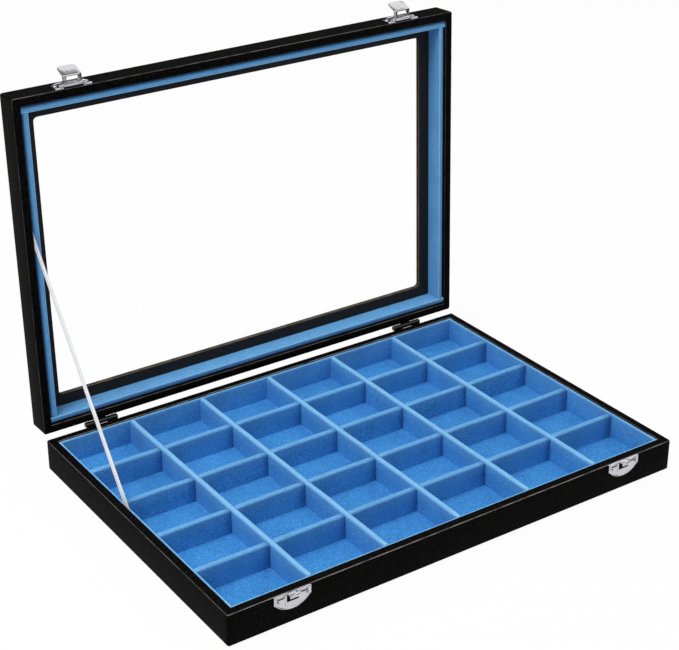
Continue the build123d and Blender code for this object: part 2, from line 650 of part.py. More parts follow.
# Latch flaps: stamped strips rolled round the pin, with a window that drops over the hook and a
# tongue bent out for the finger
flap_front = Axis(FLAP.origin, FLAP.y_dir)
for place, side in (("left", -1), ("right", 1)):
    centre = side * LATCH_X
    flap_y = PIVOT_Y - PLATE / 2 - FLAP_FORWARD
    with BuildPart() as latch_flap:
        with BuildSketch(section(FLAP, centre - FLAP_HALF_WIDTH)):
            with BuildLine() as flap_line:
                straight = Line((flap_y, PIVOT_Z), (flap_y, PIVOT_Z - FLAP_STRAIGHT))
                bend = JernArc(straight @ 1, straight % 1, TONGUE_BEND, -TONGUE_ANGLE)
                PolarLine(bend @ 1, TONGUE_LENGTH, direction=bend % 1)
            trace(flap_line.edges(), PLATE)
            with Locations((PIVOT_Y, PIVOT_Z)):
                Circle(LATCH_BARREL)
                Circle(LATCH_PIN + RUNNING_FIT, mode=Mode.SUBTRACT)
        extrude(amount=2 * FLAP_HALF_WIDTH)
        tip_corners = latch_flap.edges().filter_by(lambda edge: abs(edge.length - PLATE) < TOLERANCE)
        fillet(tip_corners.group_by(flap_front)[0], TONGUE_CORNER)
        with BuildSketch(upright(FLAP, -DEPTH / 2)):
            middle = PIVOT_Z - (FLAP_WINDOW_TOP + FLAP_WINDOW_BOTTOM) / 2
            with Locations((centre, middle)):
                RectangleRounded(FLAP_WINDOW_WIDTH, FLAP_WINDOW_BOTTOM - FLAP_WINDOW_TOP,
                                 FLAP_WINDOW_CORNER)
        extrude(amount=PIVOT_AHEAD + 2 * PLATE, mode=Mode.SUBTRACT)
    keep(latch_flap, f"latch_flap_{place}")
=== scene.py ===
import json
import math

import bmesh
import bpy
from mathutils import Matrix, Vector, noise


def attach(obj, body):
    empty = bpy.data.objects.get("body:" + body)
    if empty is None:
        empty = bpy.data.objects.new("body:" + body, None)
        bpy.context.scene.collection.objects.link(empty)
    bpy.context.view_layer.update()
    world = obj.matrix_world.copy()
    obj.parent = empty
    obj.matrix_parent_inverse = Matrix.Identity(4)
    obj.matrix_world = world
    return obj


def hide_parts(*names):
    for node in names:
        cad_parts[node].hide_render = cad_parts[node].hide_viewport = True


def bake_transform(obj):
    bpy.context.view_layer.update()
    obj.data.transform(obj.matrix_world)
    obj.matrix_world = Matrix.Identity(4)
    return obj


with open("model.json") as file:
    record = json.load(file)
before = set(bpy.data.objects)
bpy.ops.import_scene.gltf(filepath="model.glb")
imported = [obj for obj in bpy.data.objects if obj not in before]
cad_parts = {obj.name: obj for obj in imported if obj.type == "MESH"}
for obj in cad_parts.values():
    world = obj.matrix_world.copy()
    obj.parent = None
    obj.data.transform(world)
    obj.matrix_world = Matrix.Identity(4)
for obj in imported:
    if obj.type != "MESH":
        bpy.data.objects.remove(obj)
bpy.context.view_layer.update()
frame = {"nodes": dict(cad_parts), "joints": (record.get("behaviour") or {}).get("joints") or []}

# Boards: brown medium-density fibreboard, sawn and glued up into the walls and rails, the bottom
# and the window frame. All of it is covered, so only a copy cut open would show it.


def linear(code):
    """The linear colour of an sRGB hex value."""
    parts = [int(code[place:place + 2], 16) / 255 for place in (1, 3, 5)]
    return [c / 12.92 if c <= 0.04045 else ((c + 0.055) / 1.055) ** 2.4 for c in parts] + [1.0]


def add_node(material, kind, sockets=None, **settings):
    """A node of a material with its settings, and its sockets given a value or another's output."""
    node = material.node_tree.nodes.new("ShaderNode" + kind)
    for name, value in settings.items():
        setattr(node, name, value)
    for name, value in (sockets or {}).items():
        if isinstance(value, bpy.types.NodeSocket):
            material.node_tree.links.new(value, node.inputs[name])
        else:
            node.inputs[name].default_value = value
    return node


def start_material(name):
    """A new material, empty but for its output."""
    material = bpy.data.materials.new(name)
    material.use_nodes = True
    material.node_tree.nodes.clear()
    add_node(material, "OutputMaterial")
    return material


def end_material(material, shader):
    """Links a material's shader to its output."""
    output = material.node_tree.nodes["Material Output"]
    material.node_tree.links.new(shader.outputs[0], output.inputs["Surface"])
    return material


def mottled(name, spot, noise, colours, relief, surface):
    """A material of one noise, which mottles its colour and gives it a faint relief."""
    material = start_material(name)
    place = add_node(material, "TexCoord")
    spots = add_node(material, "TexNoise", {
        "Vector": place.outputs["Object"], "Scale": 1 / spot, **noise})
    tone = add_node(material, "Mix", {
        0: spots.outputs["Fac"], 6: linear(colours[0]), 7: linear(colours[1])}, data_type="RGBA")
    bump = add_node(material, "Bump", {"Height": spots.outputs["Fac"], **relief})
    return end_material(material, add_node(material, "BsdfPrincipled", {
        "Base Color": tone.outputs[2], "Normal": bump.outputs[0], **surface}))


def give(piece, material):
    """Makes a material the only one of a piece."""
    piece.data.materials.clear()
    piece.data.materials.append(material)


# Fibreboard: pressed wood fibre, matt and mottled, with fibres about 1.5 mm long.
FIBRE = 0.0015
fibreboard = mottled(
    "fibreboard_sawn", FIBRE, {"Detail": 6.0, "Roughness": 0.7}, ("#8a6a46", "#b8946a"),
    {"Strength": 0.4, "Distance": 0.0001}, {"Roughness": 0.85})
for name, node in frame["nodes"].items():
    if name.endswith(("_board", "_wall", "_rail")):
        give(node, fibreboard)

# Underside sheet: black kraft paper glued over the hem of the covering, with a soft fibrous face.
# The box stands on it.
PAPER_FIBRE = 0.0008
paper = mottled(
    "black_kraft_paper", PAPER_FIBRE, {"Detail": 4.0}, ("#161616", "#262524"),
    {"Strength": 0.3, "Distance": 0.00005}, {"Roughness": 0.8})
give(frame["nodes"]["underside_sheet"], paper)

# Base covering: one skin of black grained leatherette, glued over the walls, turned over the rim
# and down inside, folded at the corners and hemmed under the bottom.
WIDTH = 0.350
DEPTH = 0.238
SHEET = 0.0007
BASE_TOP = 0.023
BOARD_TOP = 0.0037
RIM = 0.006
LEATHER = 0.0005
HEM = 0.012
CORNER = 0.0015
ARRIS = 0.0010
INNER_ARRIS = 0.0005
GROOVE_HALF_WIDTH = 0.0004
GROOVE_DEPTH = 0.00025
SAME_PLACE = 0.00005
ON_GROOVE = 0.00002
SAME_POINT = 0.000002
HALF_TURNED = 0.7
ARRIS_SPREAD = 0.2
# Painted highlight on the leather's level arrises: stronger along the front than elsewhere.
FRONT_HIGHLIGHT = 0.9
OTHER_HIGHLIGHT = 0.35


def only(piece):
    """Selects one piece alone and makes it active."""
    bpy.ops.object.select_all(action="DESELECT")
    piece.select_set(True)
    bpy.context.view_layer.objects.active = piece


def settle(piece):
    """Puts a piece's size, turn and place into its mesh."""
    only(piece)
    bpy.ops.object.transform_apply(location=True, rotation=True, scale=True)


def name_new(name, size=(1, 1, 1)):
    """Names and settles the primitive that was just added."""
    piece = bpy.context.object
    piece.name = name
    piece.data.name = name
    piece.scale = size
    settle(piece)
    return piece


def block(name, low, high):
    """A block between two corners."""
    bpy.ops.mesh.primitive_cube_add(size=1, location=[(a + b) / 2 for a, b in zip(low, high)])
    return name_new(name, [b - a for a, b in zip(low, high)])


def edit(piece, kind, wanted):
    """Opens a piece for editing, with those parts selected whose middle and direction fit a rule."""
    only(piece)
    bpy.ops.object.mode_set(mode="EDIT")
    bpy.ops.mesh.select_mode(type=kind)
    bpy.ops.mesh.select_all(action="DESELECT")
    shape = bmesh.from_edit_mesh(piece.data)
    for part in {"VERT": shape.verts, "EDGE": shape.edges, "FACE": shape.faces}[kind]:
        if kind == "VERT":
            middle, direction = part.co, part.normal
        elif kind == "EDGE":
            ends = [corner.co for corner in part.verts]
            middle, direction = (ends[0] + ends[1]) / 2, (ends[1] - ends[0]).normalized()
        else:
            middle, direction = part.calc_center_median(), part.normal
        if wanted(middle, direction):
            part.select_set(True)
    bmesh.update_edit_mesh(piece.data)


def close():
    """Ends the editing of a piece."""
    bpy.ops.object.mode_set(mode="OBJECT")


def round_off(piece, radius, segments, wanted):
    """Rounds the edges of a piece that fit a rule."""
    edit(piece, "EDGE", wanted)
    bpy.ops.mesh.bevel(offset=radius, segments=segments, profile=0.5, affect="EDGES")
    close()


def anywhere(middle, direction):
    """The rule that every part of a piece fits."""
    return True


def cut(piece, point, normal, wanted=anywhere):
    """Cuts a line across a piece's faces, or across those that fit a rule, along a plane."""
    edit(piece, "FACE", wanted)
    bpy.ops.mesh.bisect(plane_co=point, plane_no=normal, threshold=SAME_POINT)
    close()


def cut_at(piece, axis, place, wanted=anywhere):
    """Cuts a line across a piece at a place on an axis."""
    point, normal = [0, 0, 0], [0, 0, 0]
    point[axis] = place
    normal[axis] = 1
    cut(piece, point, normal, wanted)


def pull_faces(way):
    """Extrudes the selected faces together."""
    bpy.ops.mesh.extrude_region_move(TRANSFORM_OT_translate={"value": way})


def dissolve(piece, wanted):
    """Makes one face of those that fit a rule."""
    edit(piece, "FACE", wanted)
    bpy.ops.mesh.dissolve_faces()
    close()


def near(value, target):
    """Whether a size is within a twentieth of a millimetre of another."""
    return abs(value - target) < SAME_PLACE


def shell(name, low, high):
    """The outside of one half of the box, with its upright corners rounded."""
    piece = block(name, (-WIDTH / 2, -DEPTH / 2, low), (WIDTH / 2, DEPTH / 2, high))
    round_off(piece, CORNER, 4, lambda middle, direction: abs(direction.z) > 0.9)
    return piece


def open_face(piece, level, half_width, half_depth, turned_in):
    """Cuts a rectangle out of the face of a piece at a level, and turns the skin in at its edge."""
    def on_level(middle, direction):
        return near(middle.z, level)

    for place in (-half_width, 0, half_width):
        cut_at(piece, 0, place, on_level)
    for place in (-half_depth, 0, half_depth):
        cut_at(piece, 1, place, on_level)

    def within(middle, direction):
        return on_level(middle, direction) and (
            abs(middle.x) < half_width and abs(middle.y) < half_depth)

    dissolve(piece, within)
    for x_side in (-1, 1):
        for y_side in (-1, 1):
            def around(middle, direction):
                outside = abs(middle.x) > half_width or abs(middle.y) > half_depth
                return on_level(middle, direction) and outside and (
                    middle.x * x_side > 0 and middle.y * y_side > 0)

            dissolve(piece, around)
    edit(piece, "FACE", lambda middle, direction: on_level(middle, direction) and (
        near(middle.x, 0) and near(middle.y, 0)))
    if turned_in:
        pull_faces((0, 0, turned_in))
    bpy.ops.mesh.delete(type="FACE")
    close()


def round_skin(piece, low, high, rim):
    """Rounds a skin's outer arrises and the inner edge of its rim."""
    def outer_arris(middle, direction):
        in_corner = abs(middle.x) > WIDTH / 2 - CORNER and abs(middle.y) > DEPTH / 2 - CORNER
        on_outline = near(abs(middle.x), WIDTH / 2) or near(abs(middle.y), DEPTH / 2)
        at_end = near(middle.z, low) or near(middle.z, high)
        return abs(direction.z) < 0.1 and at_end and (in_corner or on_outline)

    def inner_arris(middle, direction):
        on_side = near(abs(middle.x), WIDTH / 2 - RIM) and abs(direction.y) > 0.9
        on_end = near(abs(middle.y), DEPTH / 2 - RIM) and abs(direction.x) > 0.9
        return near(middle.z, rim) and (on_side or on_end)

    round_off(piece, ARRIS, 4, outer_arris)
    round_off(piece, INNER_ARRIS, 2, inner_arris)


def fold_corners(piece, rim, downwards):
    """Presses the folded leather's groove across the rim at each corner."""
    for x_side in (-1, 1):
        for y_side in (-1, 1):
            inner = Vector((x_side * (WIDTH / 2 - RIM), y_side * (DEPTH / 2 - RIM), rim))
            across = Vector((x_side, -y_side, 0)).normalized()

            def on_corner(middle, direction):
                return abs(middle.z - rim) < ARRIS * 1.2 and (
                    middle.x * x_side > 0 and middle.y * y_side > 0)

            for offset in (-GROOVE_HALF_WIDTH, 0, GROOVE_HALF_WIDTH):
                cut(piece, inner + across * offset, across, on_corner)

            def on_fold(middle, direction):
                on_line = abs((middle - inner).dot(across)) < ON_GROOVE
                return on_line and abs(middle.z - rim) < ARRIS and (
                    middle.x * x_side > WIDTH / 2 - RIM - 2 * SAME_PLACE)

            edit(piece, "VERT", on_fold)
            bpy.ops.transform.translate(value=(0, 0, -downwards * GROOVE_DEPTH))
            close()


def modify(piece, kind, **settings):
    """Applies a modifier to a piece."""
    modifier = piece.modifiers.new(kind.lower(), kind)
    for name, value in settings.items():
        setattr(modifier, name, value)
    only(piece)
    bpy.ops.object.modifier_apply(modifier=modifier.name)


def smooth(piece, degrees=40):
    """Shades a piece smooth, except at its sharp edges."""
    only(piece)
    bpy.ops.object.shade_smooth_by_angle(angle=math.radians(degrees))


def mark(piece, name, rule):
    """Keeps a number from 0 to 1 at each vertex, by a rule on its place and normal."""
    values = piece.data.attributes.new(name, "FLOAT", "POINT")
    for vertex in piece.data.vertices:
        values.data[vertex.index].value = min(max(rule(vertex.co, vertex.normal), 0.0), 1.0)


def turned(normal, spread):
    """How near a rounded edge's face is to halfway between level and upright, at most 1."""
    return 1 - abs(abs(normal.z) - HALF_TURNED) / spread


def arris_highlight_share(place, normal):
    """How much painted highlight the leather gets on a level rounded edge: most along the front, and 0
    on a face.
    """
    return (FRONT_HIGHLIGHT if normal.y < -0.3 else OTHER_HIGHLIGHT) * turned(normal, ARRIS_SPREAD)


# Leatherette: polyurethane on cloth, embossed with a fine pebble grain about 1.1 mm wide, with a
# low sheen. The pebbles' tops are painted a little paler than the creases between them, as painted
# light and shade in the grain, and the arrises carry a thin brownish-grey painted highlight.
leatherette = start_material("black_leatherette_fine_grain")
PEBBLE = 0.0011
CREASE = 0.009
PEBBLE_DRIFT = 0.0012
place = add_node(leatherette, "TexCoord")
warp = add_node(leatherette, "TexNoise", {
    "Vector": place.outputs["Object"], "Scale": 1 / (3 * PEBBLE), "Detail": 2.0})
bent = add_node(leatherette, "MixRGB", {
    "Fac": PEBBLE_DRIFT, "Color1": place.outputs["Object"], "Color2": warp.outputs["Color"]},
    blend_type="ADD")
pebbles = add_node(leatherette, "TexVoronoi", {
    "Vector": bent.outputs[0], "Scale": 1 / PEBBLE}, feature="SMOOTH_F1")
creases = add_node(leatherette, "TexNoise", {
    "Vector": place.outputs["Object"], "Scale": 1 / CREASE, "Detail": 5.0})
grain = add_node(leatherette, "Math", {
    0: pebbles.outputs["Distance"], 1: creases.outputs["Fac"]}, operation="MULTIPLY")
relief = add_node(leatherette, "Bump", {
    "Height": grain.outputs[0], "Strength": 0.8, "Distance": 0.0003}, invert=True)
# Painted highlight: a thin brownish-grey line on the arrises, read from a vertex number, patchy along
# its run and a little glossier.
arris_highlight = add_node(leatherette, "Attribute", attribute_name="arris_highlight")
patchy = add_node(leatherette, "MapRange", {
    "Value": creases.outputs["Fac"], "From Min": 0.35, "From Max": 0.6, "To Min": 0.35})
highlight = add_node(leatherette, "Math", {
    0: arris_highlight.outputs["Fac"], 1: patchy.outputs[0]}, operation="MULTIPLY")
# Painted light and shade in the grain: the pebbles' tops are painted paler than the creases between
# them.
lit_top = add_node(leatherette, "MapRange", {
    "Value": pebbles.outputs["Distance"], "From Min": 0.1, "From Max": 0.55, "To Min": 1.0,
    "To Max": 0.0})
tone = add_node(leatherette, "Mix", {
    0: lit_top.outputs[0], 6: linear("#030303"), 7: linear("#151413")}, data_type="RGBA")
highlighted_tone = add_node(leatherette, "Mix", {
    0: highlight.outputs[0], 6: tone.outputs[2], 7: linear("#a39d97")}, data_type="RGBA")
highlight_gloss = add_node(leatherette, "MapRange", {
    "Value": highlight.outputs[0], "To Min": 0.6, "To Max": 0.4})
end_material(leatherette, add_node(leatherette, "BsdfPrincipled", {
    "Base Color": highlighted_tone.outputs[2], "Roughness": highlight_gloss.outputs[0],
    "Specular IOR Level": 0.02, "Normal": relief.outputs[0]}))

base_covering = shell("base_covering", SHEET, BASE_TOP)
open_face(base_covering, BASE_TOP, WIDTH / 2 - RIM, DEPTH / 2 - RIM, BOARD_TOP - BASE_TOP)
open_face(base_covering, SHEET, WIDTH / 2 - HEM, DEPTH / 2 - HEM, 0)
round_skin(base_covering, SHEET, BASE_TOP, BASE_TOP)
fold_corners(base_covering, BASE_TOP, 1)
modify(base_covering, "SOLIDIFY", thickness=LEATHER, offset=-1, use_quality_normals=True)
smooth(base_covering)
# The base's arrises get the painted highlight.
mark(base_covering, "arris_highlight", arris_highlight_share)
give(base_covering, leatherette)
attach(base_covering, "base")
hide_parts("base_leather_wrap")

# Tray floor: one card covered with blue velvet, laid on the bottom inside the walls before the
# linings and the dividers, which stand on it.
FLOOR = 0.0047
LINING_TOP = 0.0223
INNER_WIDTH = WIDTH - 2 * RIM
INNER_DEPTH = DEPTH - 2 * RIM

# Velvet: short cotton pile on a woven back, brushed in soft patches. Its tufts stand 0.5 mm apart,
# and are drawn twice as coarse to show. The pile has a painted pale highlight where it turns over an
# edge and on top, painted shade beside a divider or the rim, and glows at grazing angles.
velvet = start_material("blue_cotton_velvet")
TUFT = 0.001
PATCH = 0.018
place = add_node(velvet, "TexCoord")
tufts = add_node(velvet, "TexNoise", {
    "Vector": place.outputs["Object"], "Scale": 1 / TUFT, "Detail": 3.0, "Roughness": 0.6})
patches = add_node(velvet, "TexNoise", {
    "Vector": place.outputs["Object"], "Scale": 1 / PATCH, "Detail": 4.0, "Roughness": 0.6})
mottle = add_node(velvet, "MapRange", {
    "Value": patches.outputs["Fac"], "From Min": 0.3, "From Max": 0.7})
tone = add_node(velvet, "Mix", {
    0: mottle.outputs[0], 6: linear("#2d78b8"), 7: linear("#3a8acc")}, data_type="RGBA")
lit_tips = add_node(velvet, "MapRange", {
    "Value": tufts.outputs["Fac"], "From Min": 0.5, "From Max": 0.7, "To Max": 0.6})
gaps = add_node(velvet, "MapRange", {
    "Value": tufts.outputs["Fac"], "From Min": 0.5, "From Max": 0.3, "To Max": 0.6})
tip_tone = add_node(velvet, "Mix", {
    0: lit_tips.outputs[0], 6: tone.outputs[2], 7: linear("#62aae4")}, data_type="RGBA")
tuft_tone = add_node(velvet, "Mix", {
    0: gaps.outputs[0], 6: tip_tone.outputs[2], 7: linear("#2466a6")}, data_type="RGBA")
# Painted highlight: the pile is painted pale from a vertex number, on the arrises and tops.
painted_sheen = add_node(velvet, "Attribute", attribute_name="painted_sheen")
pale = add_node(velvet, "Mix", {
    0: painted_sheen.outputs["Fac"], 6: tuft_tone.outputs[2], 7: linear("#a8dcf4")}, data_type="RGBA")
# Painted shade: the pile is painted dark navy from a vertex number, beside dividers and the rim.
painted_shade = add_node(velvet, "Attribute", attribute_name="painted_shade")
shaded = add_node(velvet, "Mix", {
    0: painted_shade.outputs["Fac"], 6: pale.outputs[2], 7: linear("#123c74")}, data_type="RGBA")
relief = add_node(velvet, "Bump", {
    "Height": tufts.outputs["Fac"], "Strength": 0.5, "Distance": 0.0002})
end_material(velvet, add_node(velvet, "BsdfPrincipled", {
    "Base Color": shaded.outputs[2], "Roughness": 0.9, "Specular IOR Level": 0.2,
    "Sheen Weight": 0.35, "Sheen Roughness": 0.4, "Sheen Tint": linear("#9cc8f6"),
    "Normal": relief.outputs[0]}))


def finish_velvet(piece, body, node):
    """Smooths and covers one velvet piece, puts it on its body and hides the node it stands for."""
    smooth(piece, 60)
    give(piece, velvet)
    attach(piece, body)
    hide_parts(node)


tray_floor = block("tray_floor", (-INNER_WIDTH / 2, -INNER_DEPTH / 2, BOARD_TOP),
                   (INNER_WIDTH / 2, INNER_DEPTH / 2, FLOOR))
finish_velvet(tray_floor, "base", "floor_lining")

# Base linings: four strips of card covered with the same velvet and glued inside the walls, their
# rounded upper edges a little below the rim.
BASE_LINING = 0.0018
BASE_LINING_ROUNDING = 0.4 * BASE_LINING
BASE_LINING_BAND = 0.0025
# How far the painted pale highlight reaches over the rounded edges, and how it fades below them.
BASE_LINING_FOLD = 0.0014
BASE_LINING_STEP = 0.012
FOLD_SPREAD = 0.3
BELOW_SHARE = 0.3
BELOW_RUN = 4
SIDES = (("front", -1, True), ("rear", 1, True), ("left", -1, False), ("right", 1, False))


def bar(name, along_x, run, faces, heights):
    """A block along the width or the depth, by half its length, its two faces and its heights."""
    corners = zip((-run, run), faces, heights)
    return block(name, *((end, face, height) if along_x else (face, end, height)
                         for end, face, height in corners))


def lining_strip(name, side, along_x, thickness, low, high):
    """A strip with its edges still square, on one side of the box."""
    outer = side * (INNER_DEPTH if along_x else INNER_WIDTH) / 2
    run = INNER_WIDTH / 2 if along_x else INNER_DEPTH / 2 - thickness
    return bar(name, along_x, run, sorted((outer, outer - side * thickness)), (low, high))


def cut_along(piece, axis, run, spacing):
    """Cuts a piece across at even steps, whose corners carry the pile's tone and its unevenness."""
    steps = round(2 * run / spacing)
    for step in range(1, steps):
        cut_at(piece, axis, -run + 2 * run * step / steps)


def sheen_on_pile(edge, depth, on_fold, on_top):
    """A rule for how much painted pale highlight the pile gets: where it turns over an arris, on top,
    and a little below.
    """
    def paleness(place, normal):
        below = BELOW_SHARE * on_fold * (1 - (edge - place.z) / (BELOW_RUN * depth))
        if abs(edge - place.z) > depth:
            return below
        folded = on_fold * turned(normal, FOLD_SPREAD)
        return max(folded, below, on_top if abs(normal.z) > 0.9 else 0.0)

    return paleness


for place_name, side, along_x in SIDES:
    strip = lining_strip(f"base_velvet_{place_name}", side, along_x, BASE_LINING, FLOOR, LINING_TOP)
    cut_at(strip, 2, LINING_TOP - BASE_LINING_BAND)
    axis, run = (0, INNER_WIDTH / 2) if along_x else (1, INNER_DEPTH / 2)
    round_off(strip, BASE_LINING_ROUNDING, 3, lambda middle, direction: near(middle.z, LINING_TOP) and (
        abs(direction.x if along_x else direction.y) > 0.9))
    cut_along(strip, axis, run, BASE_LINING_STEP)
    # The lining's rounded top gets a painted pale highlight.
    mark(strip, "painted_sheen", sheen_on_pile(LINING_TOP, BASE_LINING_FOLD, 0.6, 0.3))
    finish_velvet(strip, "base", f"base_lining_{place_name}")

# Dividers: boards wrapped in the same velvet, with rounded tops. They are halved over each other,
# so the front-to-back ones run through and the others show as short lengths between them.
DIVIDER = 0.0042
DIVIDER_ROUNDING = 0.0020
COLUMNS = 6
ROWS = 5
TRAY_WIDTH = INNER_WIDTH - 2 * BASE_LINING
TRAY_DEPTH = INNER_DEPTH - 2 * BASE_LINING
column_places = [(TRAY_WIDTH + DIVIDER) / COLUMNS * (n - COLUMNS / 2) for n in range(1, COLUMNS)]
row_places = [(TRAY_DEPTH + DIVIDER) / ROWS * (n - ROWS / 2) for n in range(1, ROWS)]
HALF_LAP = (FLOOR + LINING_TOP) / 2
LAP_PLAY = 0.0001
# Painted shade at the right end of each row's length: its run and its strength.
END_SHADE_RUN = 0.006
END_SHADE = 0.6
PAST_STOP = 0.0005
DIVIDER_BAND = 0.003
DIVIDER_STEP = 0.009
UNEVENNESS = 0.0003
UNEVEN_REACH = 0.02
UNEVEN_RISE = 0.004
STEADY_BELOW = FLOOR + 0.006
HAND_SEED = 7


def divider(name, along_x, centre, crossings, full_half, lapped_half):
    """A divider as its unbroken half, with lengths pulled out of it between the crossings."""
    axis = 0 if along_x else 1
    run = (TRAY_WIDTH if along_x else TRAY_DEPTH) / 2 - LAP_PLAY
    faces = (centre - DIVIDER / 2, centre + DIVIDER / 2)
    piece = bar(name, along_x, run, faces, sorted(full_half))
    half = DIVIDER / 2 + LAP_PLAY
    for crossing in crossings:
        for offset in (-half, half):
            cut_at(piece, axis, crossing + offset)

    def between(middle, direction):
        clear = all(abs(middle[axis] - crossing) > half for crossing in crossings)
        return clear and abs(direction.z) > 0.9 and near(middle.z, lapped_half[0])

    edit(piece, "FACE", between)
    pull_faces((0, 0, lapped_half[1] - lapped_half[0]))
    close()
    return piece


def end_shade(place, normal):
    """How much painted shade a row's length gets towards the divider on its right, where it meets it.
    """
    stops = column_places + [(TRAY_WIDTH + DIVIDER) / 2]
    gaps = [stop - DIVIDER / 2 - place.x for stop in stops]
    nearest = min((gap for gap in gaps if gap > -PAST_STOP), default=END_SHADE_RUN)
    return END_SHADE * (1 - min(max(nearest, 0.0) / END_SHADE_RUN, 1.0)) ** 1.5


def hand_laid(piece, seed):
    """Moves a divider's upper vertices by a smooth unevenness, as in cloth glued by hand."""
    for vertex in piece.data.vertices:
        share = min(max((vertex.co.z - STEADY_BELOW) / UNEVEN_RISE, 0), 1)
        drift = noise.noise_vector(vertex.co / UNEVEN_REACH + Vector((seed, 0, 0)))
        vertex.co += Vector((drift.x, drift.y, drift.z * 0.6)) * UNEVENNESS * share


noise.seed_set(HAND_SEED)
for number, row in enumerate(row_places, start=1):
    board = divider(f"velvet_row_{number}", True, row, column_places, (FLOOR, HALF_LAP),
                    (HALF_LAP, LINING_TOP))
    round_off(board, DIVIDER_ROUNDING, 5, lambda middle, direction: near(middle.z, LINING_TOP))
    cut_along(board, 0, TRAY_WIDTH / 2, DIVIDER_STEP)
    cut_at(board, 2, LINING_TOP - DIVIDER_BAND)
    # Cuts that carry the painted shade towards each divider on the right.
    for crossing in column_places:
        for offset in (-END_SHADE_RUN - DIVIDER / 2, -END_SHADE_RUN / 4 - DIVIDER / 2):
            cut_at(board, 0, crossing + offset)
    hand_laid(board, 3.0 * number)
    # Painted shade at the right end of each length.
    mark(board, "painted_shade", end_shade)
    # Painted pale highlight on the rounded top.
    mark(board, "painted_sheen", sheen_on_pile(LINING_TOP, DIVIDER_ROUNDING, 0.4, 0.2))
    finish_velvet(board, "base", f"row_divider_{number}")
for number, column in enumerate(column_places, start=1):
    board = divider(f"velvet_column_{number}", False, column, row_places, (HALF_LAP, LINING_TOP),
                    (HALF_LAP, FLOOR))
    round_off(board, DIVIDER_ROUNDING, 5, lambda middle, direction: near(middle.z, LINING_TOP) and (
        near(abs(middle.x - column), DIVIDER / 2)))
    cut_along(board, 1, TRAY_DEPTH / 2, DIVIDER_STEP)
    cut_at(board, 2, LINING_TOP - DIVIDER_BAND)
    hand_laid(board, 40.0 + 3.0 * number)
    # Painted pale highlight on the rounded top.
    mark(board, "painted_sheen", sheen_on_pile(LINING_TOP, DIVIDER_ROUNDING, 0.55, 0.4))
    finish_velvet(board, "base", f"column_divider_{number}")

# Lid covering: the same leatherette round the lid's rails and its window frame, turned into the
# window down to the glass. Every lid piece is made shut and then turned open on the hinges.
LID_LOW = 0.0234
LID_TOP = 0.0419
LID_BOARD_LOW = 0.0378
WINDOW = (0.311, 0.200)
WINDOW_TURN_IN = 0.0022
WINDOW_CORNER = 0.003
WINDOW_ARRIS = 0.0006
LID_HIGHLIGHT = 0.5
joints = {joint["name"]: joint for joint in frame["joints"]}
hinge_line = Vector(joints["lid_hinge"]["pos_m"])


def turn_about(point, joint):
    """The turn about a point, across the box, to the far end of a joint's range."""
    far_end = math.radians(joints[joint]["range_deg"][1])
    return Matrix.Translation(point) @ Matrix.Rotation(-far_end, 4, "X") @ Matrix.Translation(-point)


lid_turn = turn_about(hinge_line, "lid_hinge")


def open_up(piece):
    """Turns a piece of the shut lid open, and puts its new place into its mesh."""
    piece.matrix_world = lid_turn
    settle(piece)


lid_covering = shell("lid_covering", LID_LOW, LID_TOP)
open_face(lid_covering, LID_LOW, WIDTH / 2 - RIM, DEPTH / 2 - RIM, LID_BOARD_LOW - LID_LOW)
open_face(lid_covering, LID_TOP, WINDOW[0] / 2, WINDOW[1] / 2, -WINDOW_TURN_IN)
round_skin(lid_covering, LID_LOW, LID_TOP, LID_LOW)
round_off(lid_covering, WINDOW_CORNER, 5, lambda middle, direction: abs(direction.z) > 0.9 and (
    abs(middle.x) < WINDOW[0] / 2 + SAME_PLACE and middle.z > LID_BOARD_LOW))
round_off(lid_covering, WINDOW_ARRIS, 3, lambda middle, direction: near(middle.z, LID_TOP) and (
    abs(middle.x) < WINDOW[0] / 2 + SAME_PLACE and abs(middle.y) < WINDOW[1] / 2 + SAME_PLACE))
fold_corners(lid_covering, LID_LOW, -1)
modify(lid_covering, "SOLIDIFY", thickness=LEATHER, offset=-1, use_quality_normals=True)
# The lid's arrises get half as much painted highlight.
mark(lid_covering, "arris_highlight", lambda place, normal: LID_HIGHLIGHT * arris_highlight_share(place, normal))
open_up(lid_covering)
smooth(lid_covering)
give(lid_covering, leatherette)
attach(lid_covering, "lid")
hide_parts("lid_leather_wrap")

# Window glass: one clear float pane lying in the rebate of the window frame. It shows almost no
# reflection, as low-reflection picture glass does, so its index is taken down from 1.5 to 1.1.
PANE_INDEX = 1.1
glass = start_material("clear_float_glass")
pane = add_node(glass, "BsdfPrincipled", {
    "Base Color": linear("#ffffff"), "Roughness": 0.0, "IOR": PANE_INDEX, "Specular IOR Level": 0.02,
    "Transmission Weight": 1.0})
clear = add_node(glass, "BsdfTransparent", {"Color": linear("#f4faf8")})
ray = add_node(glass, "LightPath")
end_material(glass, add_node(glass, "MixShader", {
    0: ray.outputs["Is Shadow Ray"], 1: pane.outputs[0], 2: clear.outputs[0]}))
give(frame["nodes"]["glass_pane"], glass)

# Inner facing: a frame of matt black paper-backed cloth, glued to the inside of the window frame. It
# holds the glass in its rebate.
THREAD = 0.0006
facing = mottled(
    "black_matt_facing", THREAD, {"Detail": 3.0}, ("#0b0b0d", "#19191c"),
    {"Strength": 0.4, "Distance": 0.00008}, {"Roughness": 0.75, "Specular IOR Level": 0.3})
give(frame["nodes"]["lid_inner_facing"], facing)

# Lid linings: four thick card strips covered with the same velvet, glued inside the rails. Their
# free edges slope up from behind the rim to a crisp inner arris, the blue border round the window.
LID_LINING = 0.005
LID_LINING_LOW = LID_LOW + 0.0007
FACING_LOW = LID_BOARD_LOW - LEATHER
LINING_SLOPE = 0.0034
LINING_ARRIS = 0.0007
LINING_BAND = 0.004
